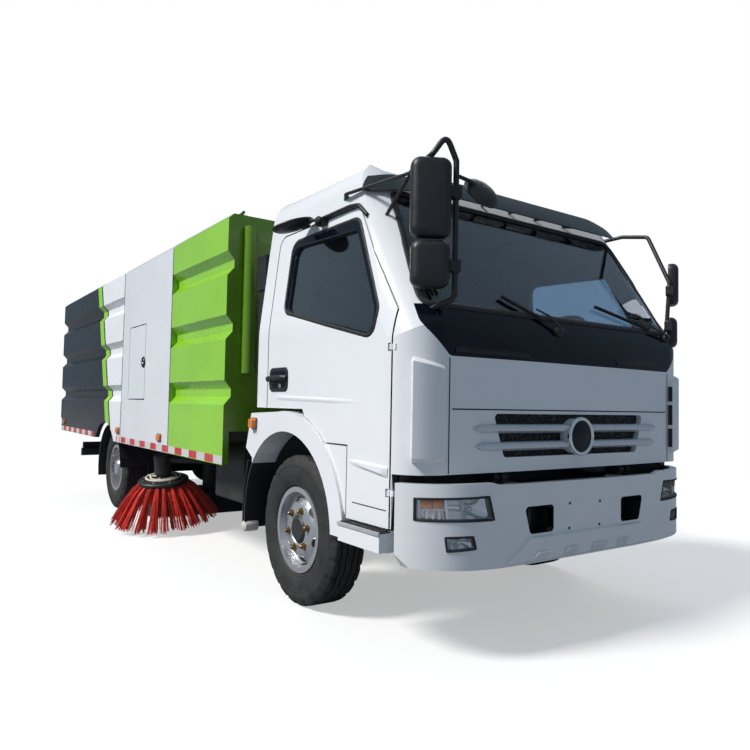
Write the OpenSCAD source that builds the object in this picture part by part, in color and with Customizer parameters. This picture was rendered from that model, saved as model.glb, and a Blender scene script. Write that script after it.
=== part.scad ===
// Street sweeper truck: cab over engine chassis, engine housing, tank section, tipping hopper, side brushes.
// X forward, Y left, Z up, ground at z = 0. Lengths in x below are measured from the front axle.

/* [Overall] */
// Length over the bumper and the tailgate
overall_length = 7240; // [7100:10:7400]
// Front axle to the foremost point of the bumper
front_overhang = 1160; // [1120:5:1200]
// Distance between the axles
wheelbase = 3800; // [3700:10:3900]

/* [Wheels] */
// Outer diameter of the tyres
tyre_diameter = 805; // [780:1:820]
// Width of one tyre
tyre_width = 215; // [200:1:225]
// Diameter over the rim flanges
rim_diameter = 460; // [440:1:480]
// Outer face of the tyres from the centre line
wheel_face = 990; // [970:1:1010]
// Distance between the twin tyres' middles
twin_spacing = 265; // [255:1:285]

/* [Frame] */
// Outer face of the rails from the centre line
rail_y = 430; // [420:1:440]
// Width of the rail's flanges
rail_flange = 65; // [50:1:80]
// Thickness of the rail's sheet
rail_t = 8; // [6:1:12]
// Bottom of the rails
rail_z0 = 560; // [550:1:570]
// Top of the rails
rail_z1 = 740; // [720:1:760]

/* [Cab] */
// Half width of the cab
cab_half_width = 1040; // [1020:1:1050]
// Half width of the roof
roof_half_width = 940; // [920:1:960]
// Rear wall of the cab
cab_rear = -400; // [-430:1:-380]
// Foremost point of the cab's front
cab_front = 1085; // [1075:1:1095]
// Underside of the floor
cab_floor = 1060; // [1050:1:1080]
// Underside of the footwells
foot_floor = 560; // [550:1:580]
// Lower edge of the front panel
panel_bottom = 795; // [790:1:805]
// Top of the roof
cab_roof = 2337; // [2325:1:2350]
// Height where the windscreen's slope starts
slope_start = 1447; // [1430:1:1460]
// Thickness of doors and walls
wall = 55; // [40:1:60]
// Gap around doors and lids
door_gap = 8; // [7:1:10]
// Half width of the tunnel over the engine
tunnel_half = 480; // [475:1:490]
// Radius of the wheel arch flare's outer edge
flare_r = 606; // [600:1:612]
// Radius of the wheel arch
arch_r = 495; // [490:1:505]

/* [Body] */
// Half width of the body
body_half_width = 1100; // [1090:1:1120]
// Front wall of the body
body_front = -763; // [-780:1:-750]
// Seam between the engine housing and the tank section
housing_end = -1830; // [-1850:1:-1800]
// Seam between the tank section and the hopper
tank_end = -3200; // [-3220:1:-3190]
// Underside of the body's floor
body_floor = 900; // [890:1:920]
// Lower edge of the side skirts
skirt_bottom = 690; // [680:1:700]
// Top of the body
body_top = 2300; // [2280:1:2320]
// Depth of the side grooves
groove_depth = 45; // [30:1:50]
// Thickness of the tailgate
tailgate_t = 55; // [45:1:70]

/* [Sweeping gear] */
// Side brush hub, from the front axle
brush_x = -2450; // [-2480:1:-2420]
// Side brush hub, from the centre line
brush_y = 920; // [900:1:940]
// Height of the side brush plate
brush_z = 400; // [390:1:410]
// Radius over the bristle tips
brush_r = 430; // [400:1:450]
// Lean of the side brush
brush_tilt = 10; // [6:1:12]
// Clearance of bristles and nozzle from the ground
ground_gap = 15; // [10:1:30]

/* [Hidden] */
$fn = 64;
pin_gap = 0.1;
front_axle_x = overall_length / 2 - front_overhang;
body_rear = front_overhang - overall_length;
wheel_z = tyre_diameter / 2;
wheel_y = wheel_face - tyre_width / 2;
inner_wheel_y = wheel_y - twin_spacing;
king_y = wheel_y - 112;
king_r = 20;
stub_r = 30;
spindle_r = 40;
rail_in = rail_y - rail_flange;
rail_front = 990;
tip_x = body_rear + 280;
tip_z = body_floor - 30;
tip_pin_r = 18;
rail_rear = tip_x + 20;
hopper_rear = body_rear + tailgate_t + 5;
hopper_front = tank_end - 15;
gate_x = hopper_rear - 3;
gate_z = body_top + 40;
gate_pin_r = 10;
gate_y = body_half_width - 400;
skirt_t = 40;
body_wall = groove_depth + 35;
screen_grade = 1.548;
screen_run = (cab_roof - slope_start) / screen_grade;
slope = atan(screen_grade);
tilt_x = 1010;
tilt_z = panel_bottom - 30;
tilt_pin_r = 15;
arch_x = -20;
arch_z = 440;
rim_r = rim_diameter / 2;
bead_r = rim_r - 15;
groove_rows = [for (k = [379, 797, 1208]) skirt_bottom + (body_top - skirt_bottom) * k / 1610];
groove_open = 157;
groove_flat = 52;
lift_y = 230;
hopper_len = hopper_front - tip_x;
lift_base = [tip_x + hopper_len * 120 / 517, 0, rail_z0 + 30];
lift_eye = [tip_x + hopper_len * 380 / 517, 0, body_floor - 80];
lift_rod_r = 26;
duct_x = tank_end + 120;
duct_y = -230;
duct_r = 100;
brush_depth = (brush_z - ground_gap - brush_r * sin(brush_tilt)) / cos(brush_tilt);
arm_x = brush_x + 700;
arm_z = rail_z0 + 60;

// Outlines are rows of [x, y, corner radius], anticlockwise.
function unit(v) = v / norm(v);
function xy(p) = [p[0], p[1]];
function prev_pt(p, i) = xy(p[(i + len(p) - 1) % len(p)]);
function next_pt(p, i) = xy(p[(i + 1) % len(p)]);
function dir_in(p, i) = unit(xy(p[i]) - prev_pt(p, i));
function dir_out(p, i) = unit(next_pt(p, i) - xy(p[i]));
function turn(p, i) = dir_in(p, i)[0] * dir_out(p, i)[1] - dir_in(p, i)[1] * dir_out(p, i)[0];
function corner_angle(p, i) = acos(-dir_in(p, i) * dir_out(p, i));
function setback(p, i) = p[i][2] / tan(corner_angle(p, i) / 2);
function tangent_in(p, i) = xy(p[i]) - setback(p, i) * dir_in(p, i);
function tangent_out(p, i) = xy(p[i]) + setback(p, i) * dir_out(p, i);
function bisector(p, i) = unit(dir_out(p, i) - dir_in(p, i));
function arc_centre(p, i) = xy(p[i]) + bisector(p, i) * p[i][2] / sin(corner_angle(p, i) / 2);
function corner_points(p, i) = p[i][2] > 0 ? [tangent_in(p, i), tangent_out(p, i)] : [xy(p[i])];
function left_of(v) = [-v[1], v[0]];
function inset_corner(p, i, d) = let(a = left_of(dir_in(p, i)), b = left_of(dir_out(p, i)))
  xy(p[i]) + d * (a + b) / (1 + a * b);
function inset_radius(p, i, d) = p[i][2] == 0 ? 0 : max(p[i][2] - d * sign(turn(p, i)), 0);
function shrink(p, d) = [for (i = [0:len(p) - 1]) [each inset_corner(p, i, d), inset_radius(p, i, d)]];
function box_rows(a, b, r) = [[a[0], a[1], r], [b[0], a[1], r], [b[0], b[1], r], [a[0], b[1], r]];

module rounded(p) {
  difference() {
    union() {
      polygon([for (i = [0:len(p) - 1]) each corner_points(p, i)]);
      for (i = [0:len(p) - 1])
        if (p[i][2] > 0 && turn(p, i) > 0)
          translate(arc_centre(p, i)) circle(p[i][2]);
    }
    for (i = [0:len(p) - 1])
      if (p[i][2] > 0 && turn(p, i) < 0)
        translate(arc_centre(p, i)) circle(p[i][2]);
  }
}

module from_axle() {
  translate([front_axle_x, 0, 0]) children();
}

module side_slab(y0, y1) {
  translate([0, y1, 0]) rotate([90, 0, 0]) linear_extrude(y1 - y0) children();
}

module plan_slab(z0, z1) {
  translate([0, 0, z0]) linear_extrude(z1 - z0) children();
}

module front_slab(x0, x1) {
  translate([x0, 0, 0]) rotate([90, 0, 90]) linear_extrude(x1 - x0) children();
}

module block(a, b) {
  translate(a) cube(b - a);
}

module bar_x(y, z, r, x0, x1) {
  translate([x0, y, z]) rotate([0, 90, 0]) cylinder(r = r, h = x1 - x0);
}

module bar_y(x, z, r, y0, y1) {
  translate([x, y0, z]) rotate([-90, 0, 0]) cylinder(r = r, h = y1 - y0);
}

module post(x, y, r, z0, z1) {
  translate([x, y, z0]) cylinder(r = r, h = z1 - z0);
}

module rod(a, b, r) {
  v = b - a;
  translate(a) rotate([0, acos(v[2] / norm(v)), atan2(v[1], v[0])]) cylinder(r = r, h = norm(v));
}

module both() {
  children();
  mirror([0, 1, 0]) children();
}

// Frame and running gear
module frame_rails() {
  color("#202224") from_axle() both() {
    difference() {
      block([rail_rear, rail_in, rail_z0], [rail_front, rail_y, rail_z1]);
      block([rail_rear - 1, rail_in - 1, rail_z0 + rail_t],
        [rail_front + 1, rail_y - rail_t, rail_z1 - rail_t]);
    }
    block([tip_x, rail_in, rail_z1], [body_front, rail_y, body_floor]);
    bar_y(tip_x, tip_z, 28, rail_in, rail_y);
    bar_y(tip_x, tip_z, tip_pin_r, rail_y, rail_y + 40);
    block([-380, rail_in, rail_z1], [-320, rail_y, cab_floor]);
    block([940, rail_y, tilt_z - 65], [tilt_x, tunnel_half - 10, tilt_z + 25]);
    bar_y(tilt_x, tilt_z, 25, rail_y, tunnel_half - 10);
    bar_y(tilt_x, tilt_z, tilt_pin_r, tunnel_half - 10, tunnel_half + 45);
    block([arm_x - 40, rail_y, rail_z0], [arm_x + 40, rail_y + 100, rail_z0 + 120]);
    bar_y(arm_x, arm_z, king_r, rail_y + 100, rail_y + 240);
  }
}

module crossmembers() {
  web = rail_y - rail_t;
  color("#202224") from_axle() {
    for (x = [900, -850, -1450, -2300, -2900, lift_base[0] - 110])
      block([x - 30, -web, rail_z0 + 60], [x + 30, web, rail_z1 - 20]);
    block([rail_rear + 10, -web, rail_z0 + 60], [rail_rear + 70, web, rail_z1 - 20]);
    difference() {
      block([rail_rear - 100, -60, rail_z0 + 60], [rail_rear + 10, 60, rail_z0 + 90]);
      post(rail_rear - 60, 0, 25, rail_z0, rail_z1);
    }
    for (s = [-1, 1])
      for (e = [-1, 1])
        difference() {
          block([lift_base[0] - 80, s * lift_y + e * 52 - 10, 490],
            [lift_base[0] + 45, s * lift_y + e * 52 + 10, rail_z0 + 100]);
          bar_y(lift_base[0], lift_base[2], 25 + pin_gap, s * lift_y - 70, s * lift_y + 70);
        }
  }
}

module leaf_pair(seat, mid, eye, reach) {
  outline = [[-reach, eye - 18], [-330, mid - 35], [-60, seat], [60, seat], [330, mid - 35],
    [reach, eye - 18],
    [reach, eye], [0, mid], [-reach, eye]];
  both() {
    side_slab(rail_in, rail_y) polygon(outline);
    for (s = [-1, 1])
      block([s * reach - 35, rail_in, eye - 30], [s * reach + 35, rail_y, rail_z0]);
  }
}

module front_axle() {
  low = wheel_z - 48;
  high = wheel_z + 47;
  outline = [[-king_y + 40, low], [-560, low], [-480, low - 55], [480, low - 55], [560, low],
    [king_y - 40, low],
    [king_y - 40, high], [540, high], [460, low + 25], [-460, low + 25], [-540, high], [-king_y + 40, high]];
  color("#26282a") from_axle() {
    difference() {
      union() {
        front_slab(-40, 40) polygon(outline);
        for (s = [-1, 1])
          post(0, s * king_y, 48, low, high);
      }
      for (s = [-1, 1])
        post(0, s * king_y, king_r + pin_gap, low - 1, high + 1);
    }
    both() block([-60, rail_in, low + 15], [60, rail_y, wheel_z + 10]);
    leaf_pair(wheel_z + 8, wheel_z + 60, rail_z0 - 30, 600);
  }
}

module rear_axle() {
  color("#26282a") translate([front_axle_x - wheelbase, 0, 0]) {
    bar_y(0, wheel_z, 65, -rail_y - 45, rail_y + 45);
    bar_y(0, wheel_z, spindle_r, -wheel_y, wheel_y);
    translate([0, 0, wheel_z]) sphere(185);
    bar_x(0, wheel_z, 75, 0, 200);
    both() block([-60, rail_in, wheel_z], [60, rail_y, wheel_z + 80]);
    leaf_pair(wheel_z + 78, rail_z0 - 15, rail_z0 - 8, 640);
  }
}

module engine() {
  color("#3a3d40") from_axle() {
    block([-150, -290, 470], [650, 290, 1000]);
    block([-720, -170, 440], [-149, 170, rail_z1 - 20]);
    block([649, -250, 600], [721, 250, 980]);
    block([720, -340, 580], [790, 340, 1030]);
    block([100, -rail_y + 20, rail_z1], [220, rail_y - 20, rail_z1 + 40]);
  }
}

module propshaft() {
  gearbox = [-740, 0, 560];
  nose = [-wheelbase + 220, 0, wheel_z];
  color("#303336") from_axle() {
    bar_x(0, gearbox[2], 70, -760, -720);
    rod(gearbox, nose, 40);
    bar_x(0, nose[2], 70, nose[0] - 20, nose[0] + 20);
  }
}

module side_tanks() {
  color("#1c1d1f") from_axle() {
    front_slab(-1500, -780) rounded(box_rows([rail_y + 30, 430], [930, 800], 60));
    block([-1400, rail_y, rail_z0 + 20], [-1300, rail_y + 40, rail_z1 - 20]);
    block([-980, rail_y, rail_z0 + 20], [-880, rail_y + 40, rail_z1 - 20]);
    front_slab(-1250, -780) rounded(box_rows([-940, 430], [-rail_y - 30, 810], 20));
    block([-1100, -rail_y - 40, rail_z0 + 20], [-900, -rail_y, rail_z1 - 20]);
  }
}

function ring_part(a0, a1, r0, r1) = concat([for (k = [0:16]) let(a = a0 + (a1 - a0) * k / 16)
  r1 * [cos(a), sin(a)]], [for (k = [16:-1:0]) let(a = a0 + (a1 - a0) * k / 16) r0 * [cos(a), sin(a)]]);

module mudguards() {
  color("#17181a") both() {
    translate([front_axle_x + arch_x, 0, arch_z])
      side_slab(king_y - 60, 1045) polygon(ring_part(145, 192, arch_r + 5, arch_r + 20));
    translate([front_axle_x, 0, 0]) block([-514, rail_y, 570], [-490, king_y - 40, 600]);
    translate([front_axle_x - wheelbase, 0, wheel_z])
      side_slab(rail_y + 70, 1045) polygon(ring_part(5, 195, wheel_z + 22, wheel_z + 37));
    translate([front_axle_x - wheelbase, 0, wheel_z])
      block([-40, rail_y, wheel_z + 24], [40, rail_y + 90, wheel_z + 35]);
  }
}

module underrun_bar() {
  color("#1c1d1f") from_axle() {
    block([rail_rear - 20, -900, 380], [rail_rear + 50, 900, 470]);
    both() block([rail_rear, rail_in, 469], [rail_rear + 50, rail_y, rail_z0]);
  }
}

module rear_lamps() {
  color("#b0201c") from_axle() {
    both() block([rail_rear - 40, 640, 470], [rail_rear + 20, 880, 545]);
    both() block([housing_end - 235, body_half_width, 775], [housing_end - 175, body_half_width + 14, 815]);
  }
}

// Wheels
module tyre(middle) {
  h = tyre_width / 2;
  r = tyre_diameter / 2;
  rows = [[bead_r, -h + 30], [rim_r + 1, -h + 30], [rim_r + 16, -h + 12], [rim_r + 75, -h], [r - 35, -h + 8],
    [r, -h + 32], [r, h - 32], [r - 35, h - 8], [rim_r + 75, h], [rim_r + 16, h - 12], [rim_r + 1, h - 30],
    [bead_r, h - 30]];
  translate([0, middle, wheel_z]) rotate([90, 0, 0]) rotate_extrude() polygon(rows);
}

module lathe_y(middle, rows) {
  translate([0, middle, wheel_z]) rotate([-90, 0, 0]) rotate_extrude() polygon(rows);
}

function rim_rows() = let(h = tyre_width / 2 - 30) [[bead_r - 12, -h - 14], [rim_r, -h - 14], [rim_r, -h],
  [bead_r, -h], [bead_r, h], [rim_r, h], [rim_r, h + 14], [bead_r - 12, h + 14]];

module hand_holes(middle, depth) {
  for (k = [0:5])
    translate([0, middle, wheel_z]) rotate([0, 60 * k, 0]) bar_y(158, 0, 28, -depth, depth);
}

module front_rim() {
  difference() {
    union() {
      lathe_y(wheel_y, rim_rows());
      lathe_y(wheel_y, [[0, 40], [120, 40], [bead_r - 6, -20], [bead_r - 6, -8], [120, 54], [0, 54]]);
      lathe_y(wheel_y, [[0, 41], [0, 92], [60, 92], [85, 70], [85, 41]]);
      lathe_y(wheel_y, [[0, -44], [0, 41], [80, 41], [80, -14], [160, -14], [160, -44]]);
    }
    bar_y(0, wheel_z, stub_r + pin_gap, wheel_y - 100, wheel_y + 70);
    hand_holes(wheel_y, 90);
  }
}

module rear_rim() {
  m = twin_spacing / 2;
  mid = wheel_y - m;
  difference() {
    union() {
      lathe_y(wheel_y, rim_rows());
      lathe_y(inner_wheel_y, rim_rows());
      lathe_y(mid, [[0, 0], [130, 0], [bead_r - 6, m - 60], [bead_r - 6, m - 46], [125, 16], [0, 16]]);
      lathe_y(mid, [[0, 1], [130, 1], [bead_r - 6, 60 - m], [bead_r - 6, 46 - m], [125, -14], [0, -14]]);
      lathe_y(mid, [[0, 15], [0, m + 90], [70, m + 90], [88, m + 60], [88, 15]]);
      lathe_y(mid, [[0, -13], [0, -120], [165, -120], [165, -60], [90, -13]]);
    }
    bar_y(0, wheel_z, spindle_r + pin_gap, rail_y, wheel_y + 1);
    hand_holes(mid, 80);
  }
}

module at_wheel(x, side) {
  translate([front_axle_x + x, 0, 0]) mirror([0, side < 0 ? 1 : 0, 0]) children();
}

module tyre_front_left() { color("#1b1b1c") at_wheel(0, 1) tyre(wheel_y); }
module tyre_front_right() { color("#1b1b1c") at_wheel(0, -1) tyre(wheel_y); }
module rim_front_left() { color("#d8dadb") at_wheel(0, 1) front_rim(); }
module rim_front_right() { color("#d8dadb") at_wheel(0, -1) front_rim(); }

module twin_tyres() {
  tyre(wheel_y);
  tyre(inner_wheel_y);
}

module tyre_rear_left() { color("#1b1b1c") at_wheel(-wheelbase, 1) twin_tyres(); }
module tyre_rear_right() { color("#1b1b1c") at_wheel(-wheelbase, -1) twin_tyres(); }
module rim_rear_left() { color("#d8dadb") at_wheel(-wheelbase, 1) rear_rim(); }
module rim_rear_right() { color("#d8dadb") at_wheel(-wheelbase, -1) rear_rim(); }

// Steering
tie_x = -170;
tie_y = king_y - 45;
tie_z = wheel_z - 72;

module knuckle() {
  low = wheel_z - 48;
  high = wheel_z + 47;
  post(0, king_y, king_r, low - 36, high + 36);
  post(0, king_y, 42, low - 36, low - 6);
  post(0, king_y, 42, high + 6, high + 36);
  block([-30, king_y + 20, low - 36], [30, king_y + 42, low - 6]);
  block([-30, king_y + 20, high + 6], [30, king_y + 42, high + 36]);
  block([-35, king_y + 54, low - 36], [35, king_y + 62, high + 36]);
  block([-30, king_y + 40, low - 36], [30, king_y + 60, low - 6]);
  block([-30, king_y + 40, high + 6], [30, king_y + 60, high + 36]);
  bar_y(0, wheel_z, stub_r, king_y + 55, wheel_y + 60);
  side_arm = [[-20, king_y - 25], [20, king_y - 25], [20, king_y + 25], [-20, king_y + 25]];
  plan_slab(low - 36, low - 16) polygon([[tie_x - 25, tie_y - 22], [tie_x + 25, tie_y - 22], side_arm[1],
    side_arm[2], side_arm[3], [tie_x - 25, tie_y + 22]]);
}

module knuckle_left() { color("#2c2e30") from_axle() knuckle(); }
module knuckle_right() { color("#2c2e30") from_axle() mirror([0, 1, 0]) knuckle(); }

module tie_rod() {
  top = wheel_z - 48 - 36;
  color("#2c2e30") from_axle() {
    bar_y(tie_x, top - 30, 16, -tie_y, tie_y);
    both() post(tie_x, tie_y, 22, top - 50, top - 0.2);
  }
}

// Cab
function cab_side() = [[cab_rear, cab_floor, 0], [230, cab_floor, 0], [590, foot_floor, 0],
  [930, foot_floor, 0],
  [930, panel_bottom, 0], [cab_front, panel_bottom, 0], [cab_front, slope_start + 5, 500],
  [cab_front - screen_run + 3, cab_roof, 250], [cab_rear, cab_roof, 120]];
function cab_plan() = [[cab_rear - 200, -cab_half_width, 0], [cab_front - 27, -cab_half_width, 190],
  [cab_front - 3, -420, 0], [cab_front - 3, 420, 0], [cab_front - 27, cab_half_width, 190],
  [cab_rear - 200, cab_half_width, 0]];
function cab_section() = [[-cab_half_width, foot_floor - 100, 0], [cab_half_width, foot_floor - 100, 0],
  [cab_half_width, 1500, 600], [roof_half_width, cab_roof, 190], [-roof_half_width, cab_roof, 190],
  [-cab_half_width, 1500, 600]];
function screen_section() = [[-cab_half_width - 2, -1900, 0], [cab_half_width + 2, -1900, 0],
  [cab_half_width + 2, 0, 230], [-cab_half_width - 2, 0, 230]];

module cab_form(d) {
  intersection() {
    side_slab(-1300, 1300) rounded(shrink(cab_side(), d));
    plan_slab(400, 2600) rounded(shrink(cab_plan(), d));
    front_slab(-700, 1300) rounded(shrink(cab_section(), d));
    translate([cab_front, 0, slope_start]) rotate([0, slope - 90, 0]) translate([0, 0, -1500])
      linear_extrude(3500) rotate(-90) rounded(shrink(screen_section(), d));
  }
}

door_front = 917;
door_top = cab_roof - 287;
hinge_x = door_front - 5;
hinge_y = cab_half_width - 11;
hinge_rows = [700, 1330];
hinge_pin_r = 5;
door_rows = [[590, 400, 0], [door_front, 400, 0], [door_front, 1510, 0], [560, door_top, 60],
  [-265, door_top, 60],
  [-265, 900, 0], [590, 900, 0]];
window_rows = [[-100, 1600, 60], [770, 1400, 60], [790, 1520, 60], [560, door_top - 110, 60],
  [-90, door_top - 85, 60]];

module door_outline(grow) {
  difference() {
    rounded(shrink(door_rows, -grow));
    translate([arch_x, arch_z]) circle(flare_r + 8 - grow);
  }
}

module door_region(grow, low_in, high_in) {
  intersection() {
    side_slab(cab_half_width - low_in, 1100) door_outline(grow);
    block([-400, 800, 300], [1000, 1200, 1450]);
  }
  intersection() {
    side_slab(cab_half_width - high_in, 1100) door_outline(grow);
    block([-400, 800, 1449], [1000, 1200, 2200]);
  }
}

module door_skin() {
  difference() {
    intersection() {
      cab_form(0);
      door_region(0, wall, 200);
    }
    intersection() {
      cab_form(wall);
      block([-500, 700, 1449], [1000, 1100, 2400]);
    }
    side_slab(800, 1100) rounded(window_rows);
    for (z = hinge_rows)
      post(hinge_x, hinge_y, 20, z - 6, z + 30);
  }
  for (z = hinge_rows)
    post(hinge_x, hinge_y, hinge_pin_r, z - 16, z + 40);
}

module door_glass() {
  intersection() {
    difference() {
      cab_form(18);
      cab_form(24);
    }
    side_slab(800, 1100) rounded(window_rows);
  }
}

module door_left() { color("#e9ebec") from_axle() door_skin(); }
module door_right() { color("#e9ebec") from_axle() mirror([0, 1, 0]) door_skin(); }
module door_glass_left() { color("#8fa3a8") from_axle() door_glass(); }
module door_glass_right() { color("#8fa3a8") from_axle() mirror([0, 1, 0]) door_glass(); }

screen_low = 1534;
screen_top = cab_roof - 202;
screen_rows = [[-935, screen_low, 40], [935, screen_low, 40], [850, screen_top, 70],
  [-850, screen_top, 70]];
cowl_low = 1308;
cowl_rows = [[-830, cowl_low, 40], [830, cowl_low, 40], [962, 1440, 60], [958, screen_low, 0],
  [-958, screen_low, 0],
  [-962, 1440, 60]];
panel_half = 830;
rear_glass_rows = [[-560, 1560, 60], [560, 1560, 60], [560, cab_roof - 377, 60], [-560, cab_roof - 377, 60]];

module cab_cavity() {
  difference() {
    cab_form(wall);
    block([-600, -tunnel_half - wall, 400], [1300, tunnel_half + wall, cab_floor + wall]);
    block([875, -1200, 400], [920, 1200, cowl_low + 20]);
    block([875, -1200, cowl_low + 20], [1300, 1200, cowl_low + 60]);
  }
}

module cab_shell() {
  color("#e9ebec") from_axle() difference() {
    cab_form(0);
    cab_cavity();
    block([-600, -tunnel_half, 300], [1000, tunnel_half, cab_floor]);
    both() difference() {
      door_region(door_gap, wall + door_gap, 210);
      intersection() {
        cab_form(wall + door_gap);
        block([-500, 700, 1449], [1000, 1100, 2400]);
      }
    }
    both() translate([arch_x, 0, arch_z]) bar_y(0, 0, flare_r, 900, 1200);
    front_slab(490, 1300) rounded(screen_rows);
    front_slab(925, 1300) rounded(cowl_rows);
    block([985, -panel_half, 700], [1300, panel_half, cowl_low]);
    front_slab(cab_rear - 50, cab_rear + wall + 50) rounded(rear_glass_rows);
  }
  color("#e9ebec") from_axle() both() difference() {
    union() {
      for (z = hinge_rows) {
        block([hinge_x, hinge_y - 8, z], [hinge_x + 30, hinge_y + 4, z + 24]);
        post(hinge_x, hinge_y, 11, z, z + 24);
      }
    }
    for (z = hinge_rows)
      post(hinge_x, hinge_y, hinge_pin_r + pin_gap, z - 1, z + 25);
  }
  color("#e9ebec") from_axle() both() difference() {
    union() {
      block([915, tunnel_half + 10, tilt_z - 25], [tilt_x, tunnel_half + 40, tilt_z + 25]);
      bar_y(tilt_x, tilt_z, 25, tunnel_half + 10, tunnel_half + 40);
    }
    bar_y(tilt_x, tilt_z, tilt_pin_r + pin_gap, tunnel_half, tunnel_half + 50);
  }
}

module cab_glass() {
  color("#8fa3a8") from_axle() {
    intersection() {
      difference() {
        cab_form(4);
        cab_form(11);
      }
      front_slab(490, 1300) rounded(screen_rows);
    }
    front_slab(cab_rear + 20, cab_rear + 26) rounded(rear_glass_rows);
  }
}

module cowl_panel() {
  color("#101112") from_axle() intersection() {
    difference() {
      cab_form(0);
      cab_form(wall);
    }
    front_slab(925, 1300) rounded(cowl_rows);
  }
}

grille_rows = [[-507, 861, 20], [507, 861, 20], [572, 1060, 20], [-572, 1060, 20]];

module front_panel() {
  color("#e9ebec") from_axle() {
    difference() {
      cab_form(0);
      cab_form(wall);
      front_slab(900, 1300) rounded(grille_rows);
      block([-700, -1300, 300], [985, 1300, 2600]);
      block([900, -1300, cowl_low], [1300, 1300, 2600]);
      both() block([900, panel_half, 300], [1300, 1300, 2600]);
    }
    intersection() {
      difference() {
        cab_form(-12);
        cab_form(25);
      }
      union() {
        block([1000, -672, 979], [1200, 672, 1007]);
        block([1000, -657, 899], [1200, 657, 927]);
      }
    }
    bar_x(0, 953, 88, 1055, cab_front + 15);
  }
}

module grille() {
  color("#141516") from_axle() intersection() {
    difference() {
      cab_form(30);
      cab_form(45);
    }
    front_slab(990, 1300) rounded(grille_rows);
  }
}

module sun_visor() {
  color("#4a4d50") from_axle() {
    intersection() {
      difference() {
        cab_form(-62);
        cab_form(-54);
      }
      block([430, -roof_half_width - 75, cab_roof - 177], [1200, roof_half_width - 35, cab_roof - 65]);
    }
    difference() {
      for (y = [-1, 0, 1] * roof_half_width * 0.745)
        block([500, y - 20, cab_roof - 112], [720, y + 20, cab_roof - 92]);
      cab_form(0);
      difference() {
        block([300, -1000, cab_roof - 140], [1300, 1000, cab_roof]);
        cab_form(-56);
      }
    }
  }
}

mirror_x = 1100;
mirror_y = roof_half_width - 100;
mirror_lean = 30;

module rods(path, r) {
  for (i = [1:len(path) - 1])
    let(d = 5 * unit(path[i] - path[i - 1])) rod(path[i - 1] - d, path[i] + d, r);
}

module mirror_head(x, y, u0, u1, z0, z1) {
  translate([x, y, 0]) rotate(mirror_lean) front_slab(-8, 50) rounded(box_rows([u0, z0], [u1, z1], 35));
}

module mirror_clamp(x, y, z) {
  translate([x, y, z]) rotate(mirror_lean) block([-22, -22, -24], [22, 30, 24]);
}

module curb_side_mirror() {
  joint = [925, mirror_y + 110, cab_roof - 213];
  difference() {
    union() {
      rods([[960, mirror_y + 85, 1490], [mirror_x, mirror_y, 1552], [mirror_x, mirror_y, cab_roof - 187],
        [mirror_x - 10, mirror_y + 50, cab_roof - 82], [1060, mirror_y + 100, cab_roof - 167], joint,
        [455, mirror_y + 150, cab_roof - 201], [390, mirror_y + 90, cab_roof - 217]], 13);
      rod([660, mirror_y + 60, cab_roof - 372], joint, 12);
      mirror_head(mirror_x, mirror_y, 22, 200, 1805, cab_roof - 182);
      mirror_head(mirror_x, mirror_y, 26, 196, 1590, 1797);
      mirror_clamp(mirror_x, mirror_y, 2010);
      mirror_clamp(mirror_x, mirror_y, 1690);
      rod([mirror_x, mirror_y, cab_roof - 250], [mirror_x + 12, mirror_y - 150, cab_roof - 292], 10);
      translate([mirror_x + 12, mirror_y - 150, cab_roof - 292]) rotate([0, 55, 0])
        cylinder(r = 92, h = 30, center = true, $fn = 40);
    }
    cab_form(0, $fn = 64);
  }
}

module road_side_mirror() {
  corner = [863, mirror_y + 116, cab_roof - 183];
  grip = [1014, mirror_y + 104, 1848];
  difference() {
    union() {
      rods([[540, mirror_y + 60, cab_roof - 167], [690, mirror_y + 110, cab_roof - 150], corner, grip,
        [1000, mirror_y + 96, 1570], [940, mirror_y + 80, 1500]], 13);
      mirror_head(grip[0], grip[1], 22, 190, 1725, 1975);
      mirror_head(grip[0] - 8, grip[1], 26, 180, 1470, 1650);
      mirror_clamp(grip[0], grip[1], 1800);
      mirror_clamp(grip[0] - 8, grip[1], 1590);
    }
    cab_form(0, $fn = 64);
  }
}

module mirrors() {
  $fn = 12;
  color("#141516") from_axle() {
    mirror([0, 1, 0]) curb_side_mirror();
    road_side_mirror();
  }
}

module fender_outline() {
  difference() {
    union() {
      intersection() {
        circle(flare_r);
        translate([-400, 25]) square([1100, 700]);
      }
      polygon([[-488, 377], [-424, 586], [0, 604], [0, 200], [-200, 200]]);
    }
    circle(arch_r);
  }
}

module fenders() {
  color("#e9ebec") from_axle() both() translate([arch_x, 0, arch_z])
    side_slab(900, cab_half_width + 15) fender_outline();
}

module steps() {
  color("#8d9092") from_axle() both() {
    block([600, 800, foot_floor - 100], [925, cab_half_width + 10, foot_floor - 12]);
    block([610, 800, foot_floor - 13], [900, cab_half_width - wall - 15, foot_floor]);
  }
}

module seat(y, w) {
  side_slab(y - w / 2, y + w / 2) rounded([[-330, cab_floor + wall, 0], [150, cab_floor + wall, 0],
    [170, 1430, 60], [-180, 1410, 20], [-270, 1990, 30], [-340, 1990, 20]]);
}

wheel_centre = [520, 480, 1500];
column_lean = 35;

module cab_interior() {
  color("#2b2d30") from_axle() {
    seat(480, 470);
    seat(-300, 900);
    side_slab(-960, 960) rounded([[730, 1150, 30], [875, cab_floor + wall + 6, 0], [875, 1460, 0],
      [820, 1490, 40],
      [690, 1440, 60]]);
    difference() {
      rod(wheel_centre - 0 * [1, 1, 1], [760, 480, 1157], 25);
      translate(wheel_centre) rotate([0, -column_lean, 0]) translate([0, 0, -60]) cylinder(r = 60, h = 200);
    }
    translate(wheel_centre) rotate([0, -column_lean, 0]) translate([0, 0, -62]) cylinder(r = 12, h = 70);
  }
}

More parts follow.
